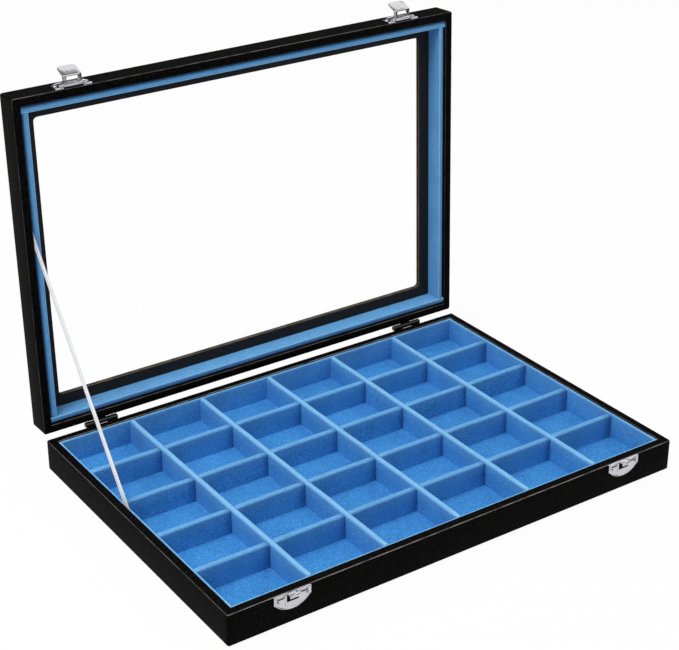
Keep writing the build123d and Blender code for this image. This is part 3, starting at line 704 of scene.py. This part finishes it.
# The lid linings' painted pale highlight: a little all over, and most on the inner arris.
EVEN_SHEEN = 0.2
ARRIS_PALE = 0.9
# The lid linings' painted shade beside the rim: its strength and its run.
RIM_SHADE = 0.85
RIM_SHADE_RUN = 0.55 * LID_LINING


def inner_arris_sheen(side, along_x):
    """A rule for how much painted pale highlight a lid lining gets: most on its inner arris, where the
    pile turns over it.
    """
    def paleness(place, normal):
        inwards = -side * (normal.y if along_x else normal.x)
        if place.z > LID_LINING_LOW + LINING_ARRIS or inwards < 0.2:
            return EVEN_SHEEN
        return max(EVEN_SHEEN, ARRIS_PALE * turned(normal, FOLD_SPREAD))

    return paleness


def rim_shade(half_run, along_x):
    """A rule for how much painted shade a lid lining gets: most beside the rim, and 0 halfway over its
    free edge.
    """
    def darkness(place, normal):
        from_rim = half_run - abs(place.y if along_x else place.x)
        return RIM_SHADE * (1 - from_rim / RIM_SHADE_RUN)

    return darkness


for place_name, side, along_x in SIDES:
    strip = lining_strip(f"lid_velvet_{place_name}", side, along_x, LID_LINING, LID_LINING_LOW,
                         FACING_LOW)
    half_run = (INNER_DEPTH if along_x else INNER_WIDTH) / 2

    def free_edge(at_rim):
        def rule(middle, direction):
            across = abs(middle.y if along_x else middle.x)
            level_run = abs(direction.x if along_x else direction.y) > 0.9
            return near(middle.z, LID_LINING_LOW) and level_run and near(
                across, half_run if at_rim else half_run - LID_LINING)

        return rule

    round_off(strip, LINING_SLOPE, 6, free_edge(True))
    round_off(strip, LINING_ARRIS, 4, free_edge(False))
    cut_at(strip, 2, LID_LINING_LOW + LINING_BAND)
    # Painted pale highlight, most on the inner arris.
    mark(strip, "painted_sheen", inner_arris_sheen(side, along_x))
    # Painted shade beside the rim.
    mark(strip, "painted_shade", rim_shade(half_run, along_x))
    open_up(strip)
    finish_velvet(strip, "lid", f"lid_lining_{place_name}")

# Hinges: two stamped steel butt hinges, black lacquered, with leaves screwed to the rear faces and
# their knuckles round a pin. The screws are black too, with a slot across each head.
ORANGE_PEEL = 0.0012
lacquer = mottled(
    "black_lacquered_steel", ORANGE_PEEL, {"Detail": 2.0}, ("#08080a", "#131315"),
    {"Strength": 0.15, "Distance": 0.00005}, {"Roughness": 0.25})
SCREW_HEAD = 0.0017
SCREW_HEAD_TALL = 0.0007
SCREW_HEAD_ROUNDING = 0.6 * SCREW_HEAD_TALL
SCREW_SLOT = 0.0004
SCREW_SLOT_DEEP = 0.0003
SCREW_X = 0.0075
SCREW_TURNS = (0.5, 1.8, 3.1, 4.4)
HINGE_X = 0.132
LEAF = 0.0008
LEAF_FROM_PIN = 0.0019
LEAF_DROP = 0.0104


def screw_head(name, x, z, turn):
    """A rounded disc on a leaf's back, with its slot turned as the screw was left."""
    outer = DEPTH / 2 + LEAF + SCREW_HEAD_TALL
    bpy.ops.mesh.primitive_cylinder_add(vertices=32, radius=SCREW_HEAD, depth=SCREW_HEAD_TALL,
                                        rotation=(math.pi / 2, 0, 0),
                                        location=(x, outer - SCREW_HEAD_TALL / 2, z))
    head = name_new(name)
    round_off(head, SCREW_HEAD_ROUNDING, 3, lambda middle, direction: near(middle.y, outer))
    across = Vector((math.cos(turn), 0, math.sin(turn)))
    middle_of_head = Vector((x, outer, z))
    for side in (-1, 1):
        cut(head, middle_of_head + across * side * SCREW_SLOT / 2, across,
            lambda middle, direction: near(middle.y, outer) and direction.y > 0.9)
    edit(head, "FACE", lambda middle, direction: near(middle.y, outer) and direction.y > 0.9 and (
        abs((middle - middle_of_head).dot(across)) < SCREW_SLOT / 4))
    pull_faces((0, -SCREW_SLOT_DEEP, 0))
    close()
    return head


def join(pieces, name):
    """Makes several pieces one."""
    bpy.ops.object.select_all(action="DESELECT")
    for piece in pieces:
        piece.select_set(True)
    bpy.context.view_layer.objects.active = pieces[0]
    bpy.ops.object.join()
    pieces[0].name = name
    pieces[0].data.name = name
    return pieces[0]


for name, node in frame["nodes"].items():
    if name.startswith("hinge_"):
        give(node, lacquer)
SCREWS_FROM_PIN = LEAF_FROM_PIN + LEAF_DROP / 2
SCREW_ROWS = (("base", hinge_line.z - SCREWS_FROM_PIN), ("lid", hinge_line.z + SCREWS_FROM_PIN))
for body, height_of_screws in SCREW_ROWS:
    heads = []
    places = (-HINGE_X - SCREW_X, -HINGE_X + SCREW_X, HINGE_X - SCREW_X, HINGE_X + SCREW_X)
    for x, turn in zip(places, SCREW_TURNS):
        heads.append(screw_head(f"{body}_screw", x, height_of_screws, turn))
    screws = join(heads, f"{body}_hinge_screw_heads")
    if body == "lid":
        open_up(screws)
    smooth(screws)
    give(screws, lacquer)
    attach(screws, body)
    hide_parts(f"hinge_{body}_screws")

# Catch plates: half-moons of pressed steel, bright nickel plated and riveted to the front of the
# base. The top edge is rolled over beside a hook, with a hole under the hook. A slot is cut under
# each roll, so that the black leather behind stands in as painted shade under the roll. A raised rim
# runs round a face that the press left slightly wavy, which breaks up its shine.
nickel = start_material("bright_nickel_plate")
WIPE = 0.0008
DENT = 0.0026
place = add_node(nickel, "TexCoord")
dents = add_node(nickel, "TexNoise", {
    "Vector": place.outputs["Object"], "Scale": 1 / DENT, "Detail": 1.0})
stamped = add_node(nickel, "Bump", {
    "Height": dents.outputs["Fac"], "Strength": 0.3, "Distance": 0.0004})
wipes = add_node(nickel, "TexNoise", {
    "Vector": place.outputs["Object"], "Scale": 1 / WIPE, "Detail": 4.0})
gloss = add_node(nickel, "MapRange", {
    "Value": wipes.outputs["Fac"], "To Min": 0.04, "To Max": 0.16})
relief = add_node(nickel, "Bump", {
    "Height": wipes.outputs["Fac"], "Strength": 0.12, "Distance": 0.00005,
    "Normal": stamped.outputs[0]})
end_material(nickel, add_node(nickel, "BsdfPrincipled", {
    "Base Color": linear("#c6c6ca"), "Metallic": 1.0, "Roughness": gloss.outputs[0],
    "Normal": relief.outputs[0]}))
FRONT = -DEPTH / 2
LATCH_X = 0.131
LATCHES = (("left", -LATCH_X), ("right", LATCH_X))
PLATE = 0.0008
PLATE_HALF_WIDTH = 0.013
SHOULDER = 0.0008
SHOULDER_HALF_WIDTH = 0.0118
PLATE_RIM_PROUD = 0.0004
PLATE_EDGE = 0.00018
STEEL_EDGE = 0.00015
ROD_ROUNDING = 0.3
CATCH_RIM = 0.0004
RIM_SLOPE = 0.0003
CATCH_EDGE = 0.0226
CATCH_SIDE = 0.0054
CATCH_TALL = 0.0114
ROLL = 0.00055
ROLL_START = 0.0042
HOOK_WIDTH = 0.007
HOOK_REACH = 0.0036
HOOK_TALL = 0.0018
HOOK_BEND = 0.001
HOOK_HOLE = (0.0082, 0.0012, 0.0058)
SHADE_SLOT = (0.0058, 0.0109, 0.0018, 0.0026)


def pull_edges(way):
    """Extrudes the selected edges."""
    bpy.ops.mesh.extrude_edges_move(TRANSFORM_OT_translate={"value": way})


def pierce(piece, centre, opening, through):
    """Cuts a rectangle out of an upright sheet, with level cuts across it alone or right through."""
    from_x, to_x, from_z, to_z = opening

    def in_width(middle, direction):
        return centre + from_x < middle.x < centre + to_x

    for offset in (from_x, to_x):
        cut_at(piece, 0, centre + offset)
    for level in (from_z, to_z):
        cut_at(piece, 2, level, anywhere if through else in_width)
    edit(piece, "FACE", lambda middle, direction: in_width(middle, direction) and (
        from_z < middle.z < to_z))
    bpy.ops.mesh.delete(type="FACE")
    close()


def half_moon(name, centre, edge, side, tip, openings):
    """A half-moon, by the heights of its edge, its sides' ends and its tip, and the openings in it."""
    way = 1 if tip > edge else -1
    shoulder = side + way * SHOULDER
    rise = abs(tip - shoulder)
    radius = (SHOULDER_HALF_WIDTH ** 2 + rise ** 2) / (2 * rise)
    bpy.ops.mesh.primitive_circle_add(vertices=112, radius=radius, fill_type="NGON",
                                      rotation=(math.pi / 2, 0, 0),
                                      location=(centre, FRONT, tip - way * radius))
    moon = name_new(name)
    edit(moon, "FACE", anywhere)
    bpy.ops.mesh.bisect(plane_co=(0, 0, shoulder), plane_no=(0, 0, way), clear_inner=True,
                        threshold=SAME_POINT)
    close()
    edit(moon, "EDGE", lambda middle, direction: near(middle.z, shoulder) and abs(direction.x) > 0.99)
    pull_edges((0, 0, side - shoulder))
    bpy.ops.transform.resize(value=(PLATE_HALF_WIDTH / SHOULDER_HALF_WIDTH, 1, 1),
                             center_override=(centre, FRONT, side))
    pull_edges((0, 0, edge - side))
    bpy.ops.mesh.select_all(action="SELECT")
    bpy.ops.mesh.dissolve_faces()
    close()
    for opening in openings:
        pierce(moon, centre, opening, False)
    return moon


def press(moon, rim):
    """Gives a half-moon its thickness, its raised rim with rounded edges and the slope inside it."""
    proud = PLATE + PLATE_RIM_PROUD
    edit(moon, "FACE", anywhere)
    pull_faces((0, -proud, 0))
    close()
    edit(moon, "FACE", lambda middle, direction: near(middle.y, FRONT - proud))
    bpy.ops.mesh.inset(thickness=rim, depth=0)
    bpy.ops.mesh.inset(thickness=RIM_SLOPE, depth=-PLATE_RIM_PROUD)
    bpy.ops.mesh.select_all(action="SELECT")
    bpy.ops.mesh.remove_doubles(threshold=SAME_POINT)
    bpy.ops.mesh.normals_make_consistent(inside=False)
    close()
    round_off(moon, PLATE_EDGE, 2, lambda middle, direction: near(middle.y, FRONT - proud))


def rod(name, x_low, x_high, y, z, radius):
    """A round rod along the width, with its ends rounded."""
    bpy.ops.mesh.primitive_cylinder_add(vertices=32, radius=radius, depth=x_high - x_low,
                                        rotation=(0, math.pi / 2, 0),
                                        location=((x_low + x_high) / 2, y, z))
    piece = name_new(name)
    round_off(piece, ROD_ROUNDING * radius, 2, lambda middle, direction: (
        near(middle.x, x_low) or near(middle.x, x_high)) and abs(direction.x) < 0.1)
    return piece


def finish_metal(piece, body, node):
    """Smooths and plates one piece of the fittings, puts it on its body and hides the node it stands
    for.
    """
    smooth(piece)
    give(piece, nickel)
    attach(piece, body)
    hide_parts(node)


for place_name, centre in LATCHES:
    # The slots under the rolls are painted shade: the black leather shows through them as the shade
    # under each roll.
    slot_low, slot_high = CATCH_EDGE - SHADE_SLOT[3], CATCH_EDGE - SHADE_SLOT[2]
    holes = [
        (-HOOK_HOLE[0] / 2, HOOK_HOLE[0] / 2, CATCH_EDGE - HOOK_HOLE[2], CATCH_EDGE - HOOK_HOLE[1]),
        (-SHADE_SLOT[1], -SHADE_SLOT[0], slot_low, slot_high),
        (SHADE_SLOT[0], SHADE_SLOT[1], slot_low, slot_high)]
    plate = half_moon(f"catch_{place_name}", centre, CATCH_EDGE, CATCH_EDGE - CATCH_SIDE,
                      CATCH_EDGE - CATCH_TALL, holes)
    press(plate, CATCH_RIM)
    rolls = []
    for low, high in ((-PLATE_HALF_WIDTH, -ROLL_START), (ROLL_START, PLATE_HALF_WIDTH)):
        rolls.append(rod("catch_roll", centre + low, centre + high, FRONT - PLATE, CATCH_EDGE - ROLL,
                         ROLL))
    hook_level = CATCH_EDGE - PLATE / 2
    bpy.ops.mesh.primitive_plane_add(size=1, location=(centre, FRONT - PLATE / 2, hook_level))
    hook = name_new("hook", (HOOK_WIDTH, PLATE, 1))
    edit(hook, "EDGE", lambda middle, direction: near(middle.y, FRONT - PLATE))
    pull_edges((0, -(HOOK_REACH - HOOK_BEND - PLATE), 0))
    bpy.ops.mesh.spin(steps=5, angle=-math.pi / 2, axis=(1, 0, 0),
                      center=(centre, FRONT - HOOK_REACH + HOOK_BEND, hook_level - HOOK_BEND))
    pull_edges((0, 0, -(HOOK_TALL - HOOK_BEND)))
    close()
    modify(hook, "SOLIDIFY", thickness=PLATE, offset=0)
    round_off(hook, STEEL_EDGE, 2, lambda middle, direction: abs(direction.x) < 0.1 and (
        near(abs(middle.x - centre), HOOK_WIDTH / 2)) and middle.y < FRONT - PLATE)
    finish_metal(join([plate, hook] + rolls, f"catch_plate_steel_{place_name}"), "base",
                 f"catch_plate_{place_name}")

# Latch plates: taller half-moons upside down on the lid, cut back in the middle for the flap, with a
# knuckle for its pin on each side.
LATCH_EDGE = LID_LOW + 0.0009
LATCH_SIDE = 0.0074
LATCH_TALL = 0.0128
LATCH_NOTCH = 0.0086
LATCH_RIM = 0.0007
FLAP_HALF_WIDTH = 0.0068
FLAP_SIDE_GAP = 0.0003
KNUCKLE = 0.0028
NECK_INSET = 0.0002
LATCH_BARREL = 0.0013
PIVOT_PROUD = 0.0016
PIVOT_UP = 0.0017
PIVOT = Vector((0, FRONT - PIVOT_PROUD, LID_LOW + PIVOT_UP))
knuckle_start = FLAP_HALF_WIDTH + FLAP_SIDE_GAP
for place_name, centre in LATCHES:
    plate = half_moon(f"latch_{place_name}", centre, LATCH_EDGE, LATCH_EDGE + LATCH_SIDE,
                      LATCH_EDGE + LATCH_TALL,
                      [(-knuckle_start, knuckle_start, LATCH_EDGE, LATCH_EDGE + LATCH_NOTCH)])
    press(plate, LATCH_RIM)
    knuckles = []
    for end in (-1, 1):
        low, high = sorted((centre + end * knuckle_start, centre + end * (knuckle_start + KNUCKLE)))
        knuckles.append(rod(f"latch_knuckle_{end}", low, high, PIVOT.y, PIVOT.z, LATCH_BARREL))
        knuckles.append(block(f"latch_neck_{end}", (low + NECK_INSET, PIVOT.y + NECK_INSET, PIVOT.z),
                              (high - NECK_INSET, FRONT, PIVOT.z + LATCH_BARREL - NECK_INSET / 2)))
    latch = join([plate] + knuckles, f"latch_plate_steel_{place_name}")
    open_up(latch)
    finish_metal(latch, "lid", f"latch_plate_{place_name}")
for name in ("latch_pin_left", "latch_pin_right"):
    give(frame["nodes"][name], nickel)

# Latch flaps: steel strips rolled round the pin, with a window that drops over the hook and a tongue
# bent out for the finger. They stand as they fell when the lid was opened.
FLAP_FORWARD = 0.0001
FLAP_STRAIGHT = 0.0056
FLAP_WINDOW = (0.008, 0.0017, 0.0053)
FLAP_WINDOW_CORNER = 0.0008
TONGUE_BEND = 0.0012
TONGUE_ANGLE = math.radians(58)
TONGUE_LENGTH = 0.0088
TONGUE_CORNER = 0.003
flap_turn = turn_about(PIVOT, "latch_left")
for place_name, centre in LATCHES:
    flap_y = PIVOT.y - PLATE / 2 - FLAP_FORWARD
    bottom = PIVOT.z - FLAP_STRAIGHT
    bpy.ops.mesh.primitive_plane_add(size=1, rotation=(math.pi / 2, 0, 0),
                                     location=(centre, flap_y, PIVOT.z - FLAP_STRAIGHT / 2))
    flap = name_new("flap", (2 * FLAP_HALF_WIDTH, FLAP_STRAIGHT, 1))
    half_window = FLAP_WINDOW[0] / 2
    window_top, window_bottom = PIVOT.z - FLAP_WINDOW[1], PIVOT.z - FLAP_WINDOW[2]
    pierce(flap, centre, (-half_window, half_window, window_bottom, window_top), True)
    edit(flap, "VERT", lambda middle, direction: near(abs(middle.x - centre), half_window) and (
        near(middle.z, window_top) or near(middle.z, window_bottom)))
    bpy.ops.mesh.bevel(offset=FLAP_WINDOW_CORNER, segments=3, affect="VERTICES")
    close()
    edit(flap, "EDGE", lambda middle, direction: near(middle.z, bottom) and abs(direction.x) > 0.9)
    bpy.ops.mesh.spin(steps=6, angle=TONGUE_ANGLE, axis=(1, 0, 0),
                      center=(centre, flap_y - TONGUE_BEND, bottom))
    tongue_way = Vector((0, -math.sin(TONGUE_ANGLE), -math.cos(TONGUE_ANGLE)))
    pull_edges(tongue_way * TONGUE_LENGTH)
    close()
    tip = min(vertex.co.z for vertex in flap.data.vertices)
    edit(flap, "VERT", lambda middle, direction: near(middle.z, tip) and (
        near(abs(middle.x - centre), FLAP_HALF_WIDTH)))
    bpy.ops.mesh.bevel(offset=TONGUE_CORNER, segments=6, affect="VERTICES")
    close()
    modify(flap, "SOLIDIFY", thickness=PLATE, offset=0)
    modify(flap, "BEVEL", width=STEEL_EDGE, segments=2, limit_method="ANGLE",
           angle_limit=math.radians(50))
    barrel = rod(f"flap_barrel_{place_name}", centre - FLAP_HALF_WIDTH, centre + FLAP_HALF_WIDTH,
                 PIVOT.y, PIVOT.z, LATCH_BARREL)
    flap = join([flap, barrel], f"latch_flap_steel_{place_name}")
    flap.matrix_world = flap_turn
    settle(flap)
    open_up(flap)
    finish_metal(flap, f"latch_flap_{place_name}", f"latch_flap_{place_name}")

# Rivets: hollow nickelled ones, four through the catch plates and four through the latch plates.
# Each shows a domed collar round its bore.
RIVET_HEAD = 0.0014
RIVET_TALL = 0.0009
RIVET_BORE = 0.00045
RIVET_BORE_DEEP = 0.0013
RIVET_SUNK = 0.0002
RIVET_X = 0.0102
CATCH_RIVET_DROP = 0.0039
LATCH_RIVET_RISE = 0.006


def rivet_head(name, x, z):
    """A flattened ball half sunk in a plate's face, with the rivet's bore pressed into it."""
    bpy.ops.mesh.primitive_uv_sphere_add(segments=28, ring_count=14, radius=1,
                                         rotation=(math.pi / 2, 0, 0),
                                         location=(x, FRONT - PLATE + RIVET_SUNK, z))
    head = name_new(name, (RIVET_HEAD, RIVET_HEAD, RIVET_TALL))
    edit(head, "VERT", lambda middle, direction: middle.y < FRONT - PLATE and (
        math.hypot(middle.x - x, middle.z - z) < RIVET_BORE))
    bpy.ops.transform.translate(value=(0, RIVET_BORE_DEEP, 0))
    close()
    return head


RIVET_PLACES = (-LATCH_X - RIVET_X, -LATCH_X + RIVET_X, LATCH_X - RIVET_X, LATCH_X + RIVET_X)
RIVET_ROWS = (("catch", "base", CATCH_EDGE - CATCH_RIVET_DROP),
              ("latch", "lid", LATCH_EDGE + LATCH_RIVET_RISE))
for level, body, height_of_rivets in RIVET_ROWS:
    heads = [rivet_head(f"{level}_rivet_{number}", x, height_of_rivets)
             for number, x in enumerate(RIVET_PLACES)]
    rivets = join(heads, f"{level}_rivet_heads")
    if level == "latch":
        open_up(rivets)
    finish_metal(rivets, body, f"{level}_rivets")

# Stay ribbon: white polyester satin, 6 mm wide, glued behind the left linings at both ends and
# drawn tight when the lid stands open. It is flat and taut, a strap and not a hanging sheet, with a
# shallow crease along its middle and a firm woven edge on each side.
RIBBON_WIDTH = 0.006
RIBBON_THICKNESS = 0.00025
RIBBON_X = -0.168775
RIBBON_FOOT_Y = 0.014
RIBBON_HEAD_Y = -0.021
RIBBON_TUCK = 0.009
RIBBON_FLAT_RUN = 0.02
RIBBON_CREASE = 0.00035
RIBBON_SELVEDGE = 0.0006
WEAVE = 0.0006
ribbon_foot = Vector((RIBBON_X, RIBBON_FOOT_Y, LINING_TOP))
ribbon_head = lid_turn @ Vector((RIBBON_X, RIBBON_HEAD_Y, LID_LOW))
ribbon_way = (ribbon_head - ribbon_foot).normalized()
ribbon_side = ribbon_way.cross(Vector((1, 0, 0)))
ribbon_length = (ribbon_head - ribbon_foot).length + 2 * RIBBON_TUCK
bpy.ops.mesh.primitive_grid_add(x_subdivisions=60, y_subdivisions=12, size=1)
ribbon = name_new("satin_stay_ribbon", (ribbon_length, RIBBON_WIDTH, 1))
for vertex in ribbon.data.vertices:
    from_end = ribbon_length / 2 - RIBBON_TUCK - abs(vertex.co.x)
    free = min(1.0, max(0.0, from_end / RIBBON_FLAT_RUN))
    across = abs(vertex.co.y) / (RIBBON_WIDTH / 2)
    fold = (math.cos(math.pi * across) + 1) / 2
    vertex.co.z = RIBBON_CREASE * free * fold * (1 if across < 0.8 else 0.6)
ribbon_middle = (ribbon_head + ribbon_foot) / 2
ribbon_face = ribbon_way.cross(ribbon_side)
ribbon_turn = Matrix((ribbon_way, ribbon_side, ribbon_face)).transposed().to_4x4()
ribbon.matrix_world = Matrix.Translation(ribbon_middle) @ ribbon_turn
settle(ribbon)
modify(ribbon, "SOLIDIFY", thickness=RIBBON_THICKNESS, offset=-1, use_quality_normals=True)
smooth(ribbon, 50)

# Satin: bright yarns along the ribbon over fine cross threads, 0.15 mm apart, drawn at 0.6 mm to
# show. It gives a soft sheen, with a painted grey line of shade along the crease and greyer lines
# beside the woven edges.
satin = start_material("white_polyester_satin")
weave_map = add_node(satin, "UVMap", uv_map="UVMap")
parts = add_node(satin, "SeparateXYZ", {0: weave_map.outputs["UV"]})
off_middle = add_node(satin, "Math", {0: parts.outputs["Y"], 1: 0.5}, operation="SUBTRACT")
distance = add_node(satin, "Math", {0: off_middle.outputs[0]}, operation="ABSOLUTE")
# Painted shade: a grey line along the ribbon's middle crease.
crease_shade = add_node(satin, "MapRange", {
    "Value": distance.outputs[0], "From Min": 0.03, "From Max": 0.11, "To Min": 0.75, "To Max": 0.0})
edge_line = add_node(satin, "MapRange", {
    "Value": distance.outputs[0], "From Min": 0.5 - RIBBON_SELVEDGE / RIBBON_WIDTH, "From Max": 0.49,
    "To Min": 0.0, "To Max": 0.5})
lines = add_node(satin, "Math", {
    0: crease_shade.outputs[0], 1: edge_line.outputs[0]}, operation="MAXIMUM")
cross_threads = add_node(satin, "Math", {
    0: parts.outputs["X"], 1: 2 * math.pi * ribbon_length / WEAVE}, operation="MULTIPLY")
ribs = add_node(satin, "Math", {0: cross_threads.outputs[0]}, operation="SINE")
yarns = add_node(satin, "Math", {
    0: parts.outputs["Y"], 1: 2 * math.pi * RIBBON_WIDTH / WEAVE}, operation="MULTIPLY")
floats = add_node(satin, "Math", {0: yarns.outputs[0]}, operation="SINE")
cloth = add_node(satin, "Math", {0: ribs.outputs[0], 1: floats.outputs[0]}, operation="ADD")
tone = add_node(satin, "Mix", {
    0: lines.outputs[0], 6: linear("#e2e3e6"), 7: linear("#a4a7ac")}, data_type="RGBA")
relief = add_node(satin, "Bump", {"Height": cloth.outputs[0], "Strength": 0.12, "Distance": 0.00005})
end_material(satin, add_node(satin, "BsdfPrincipled", {
    "Base Color": tone.outputs[2], "Roughness": 0.35, "Sheen Weight": 0.3,
    "Normal": relief.outputs[0]}))
give(ribbon, satin)
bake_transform(ribbon)
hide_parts("stay_ribbon")

# Table: a plain white surface, which the camera sees as white and which keeps the soft shadow. It is
# no part of the box.
TABLE_RADIUS = 6.0
GLOW_SHARE = 0.95
bpy.ops.mesh.primitive_circle_add(vertices=96, radius=TABLE_RADIUS, fill_type="NGON")
table = name_new("table")
white = start_material("white_table")
matt = add_node(white, "BsdfDiffuse", {"Color": linear("#dedede")})
glow = add_node(white, "Emission", {"Color": linear("#ffffff"), "Strength": 1.0})
ray = add_node(white, "LightPath")
seen = add_node(white, "Math", {
    0: ray.outputs["Is Camera Ray"], 1: ray.outputs["Is Glossy Ray"]}, operation="MAXIMUM")
through = add_node(white, "Math", {
    0: seen.outputs[0], 1: ray.outputs["Is Transmission Ray"]}, operation="MAXIMUM")
share = add_node(white, "Math", {0: through.outputs[0], 1: GLOW_SHARE}, operation="MULTIPLY")
end_material(white, add_node(white, "MixShader", {
    0: share.outputs[0], 1: matt.outputs[0], 2: glow.outputs[0]}))
give(table, white)

# Studio: a room with dark walls, a bright band of light above them and a dimmer ceiling, so that
# the plated metal shows all three. A large soft lamp stands high on the left and a weak one in
# front, and the camera stands as the photograph's did.
studio = bpy.data.worlds.new("studio")
bpy.context.scene.world = studio
studio.use_nodes = True
studio.node_tree.nodes.clear()
way = add_node(studio, "TexCoord")
height = add_node(studio, "SeparateXYZ", {0: way.outputs["Generated"]})
walls = add_node(studio, "ValToRGB", {"Fac": height.outputs["Z"]})
BANDS = ((0.4, 0.04), (0.5, 1.2), (0.75, 1.2), (0.85, 0.3))
for index, (place_up, level) in enumerate(BANDS):
    if index > 1:
        walls.color_ramp.elements.new(place_up)
    walls.color_ramp.elements[index].position = place_up
    walls.color_ramp.elements[index].color = (level, level, level, 1)
room = add_node(studio, "Background", {"Color": walls.outputs["Color"], "Strength": 1.0})
add_node(studio, "OutputWorld", {"Surface": room.outputs[0]})
LAMP_SIZE = 0.9
BOX_MIDDLE = Vector((0, 0, 0.05))


def lamp(name, place, power):
    """A square soft lamp that faces the middle of the box."""
    bpy.ops.object.light_add(type="AREA", location=place)
    light = bpy.context.object
    light.name = name
    light.data.size = LAMP_SIZE
    light.data.energy = power
    light.rotation_euler = (BOX_MIDDLE - Vector(place)).to_track_quat("-Z", "Y").to_euler()


lamp("key_lamp", (-0.9, -0.1, 1.65), 25.0)
lamp("front_lamp", (0.5, -1.4, 0.7), 1.5)

AZIMUTH = math.radians(-32.689)
ELEVATION = math.radians(24.521)
ROLL = math.radians(-0.79)
FOCAL_PIXELS = 1640.3
CENTRE_PIXEL = (285.18, 270.68)
FRAME_PIXELS = (679, 650)
SENSOR = 36.0
CAMERA_PLACE = Vector((-0.56046, -0.78597, 0.58986))
back = Vector((math.sin(AZIMUTH) * math.cos(ELEVATION), -math.cos(AZIMUTH) * math.cos(ELEVATION),
               math.sin(ELEVATION)))
level_right = (-back).cross(Vector((0, 0, 1))).normalized()
level_up = level_right.cross(-back)
right = math.cos(ROLL) * level_right + math.sin(ROLL) * level_up
up = -math.sin(ROLL) * level_right + math.cos(ROLL) * level_up
camera = bpy.data.objects.new("camera", bpy.data.cameras.new("camera"))
bpy.context.scene.collection.objects.link(camera)
camera.matrix_world = Matrix.Translation(CAMERA_PLACE) @ Matrix((right, up, back)).transposed().to_4x4()
camera.data.sensor_width = SENSOR
camera.data.lens = FOCAL_PIXELS / FRAME_PIXELS[0] * SENSOR
camera.data.shift_x = (FRAME_PIXELS[0] / 2 - CENTRE_PIXEL[0]) / FRAME_PIXELS[0]
camera.data.shift_y = (CENTRE_PIXEL[1] - FRAME_PIXELS[1] / 2) / FRAME_PIXELS[0]
bpy.context.scene.camera = camera
bpy.context.scene.view_settings.view_transform = "Standard"
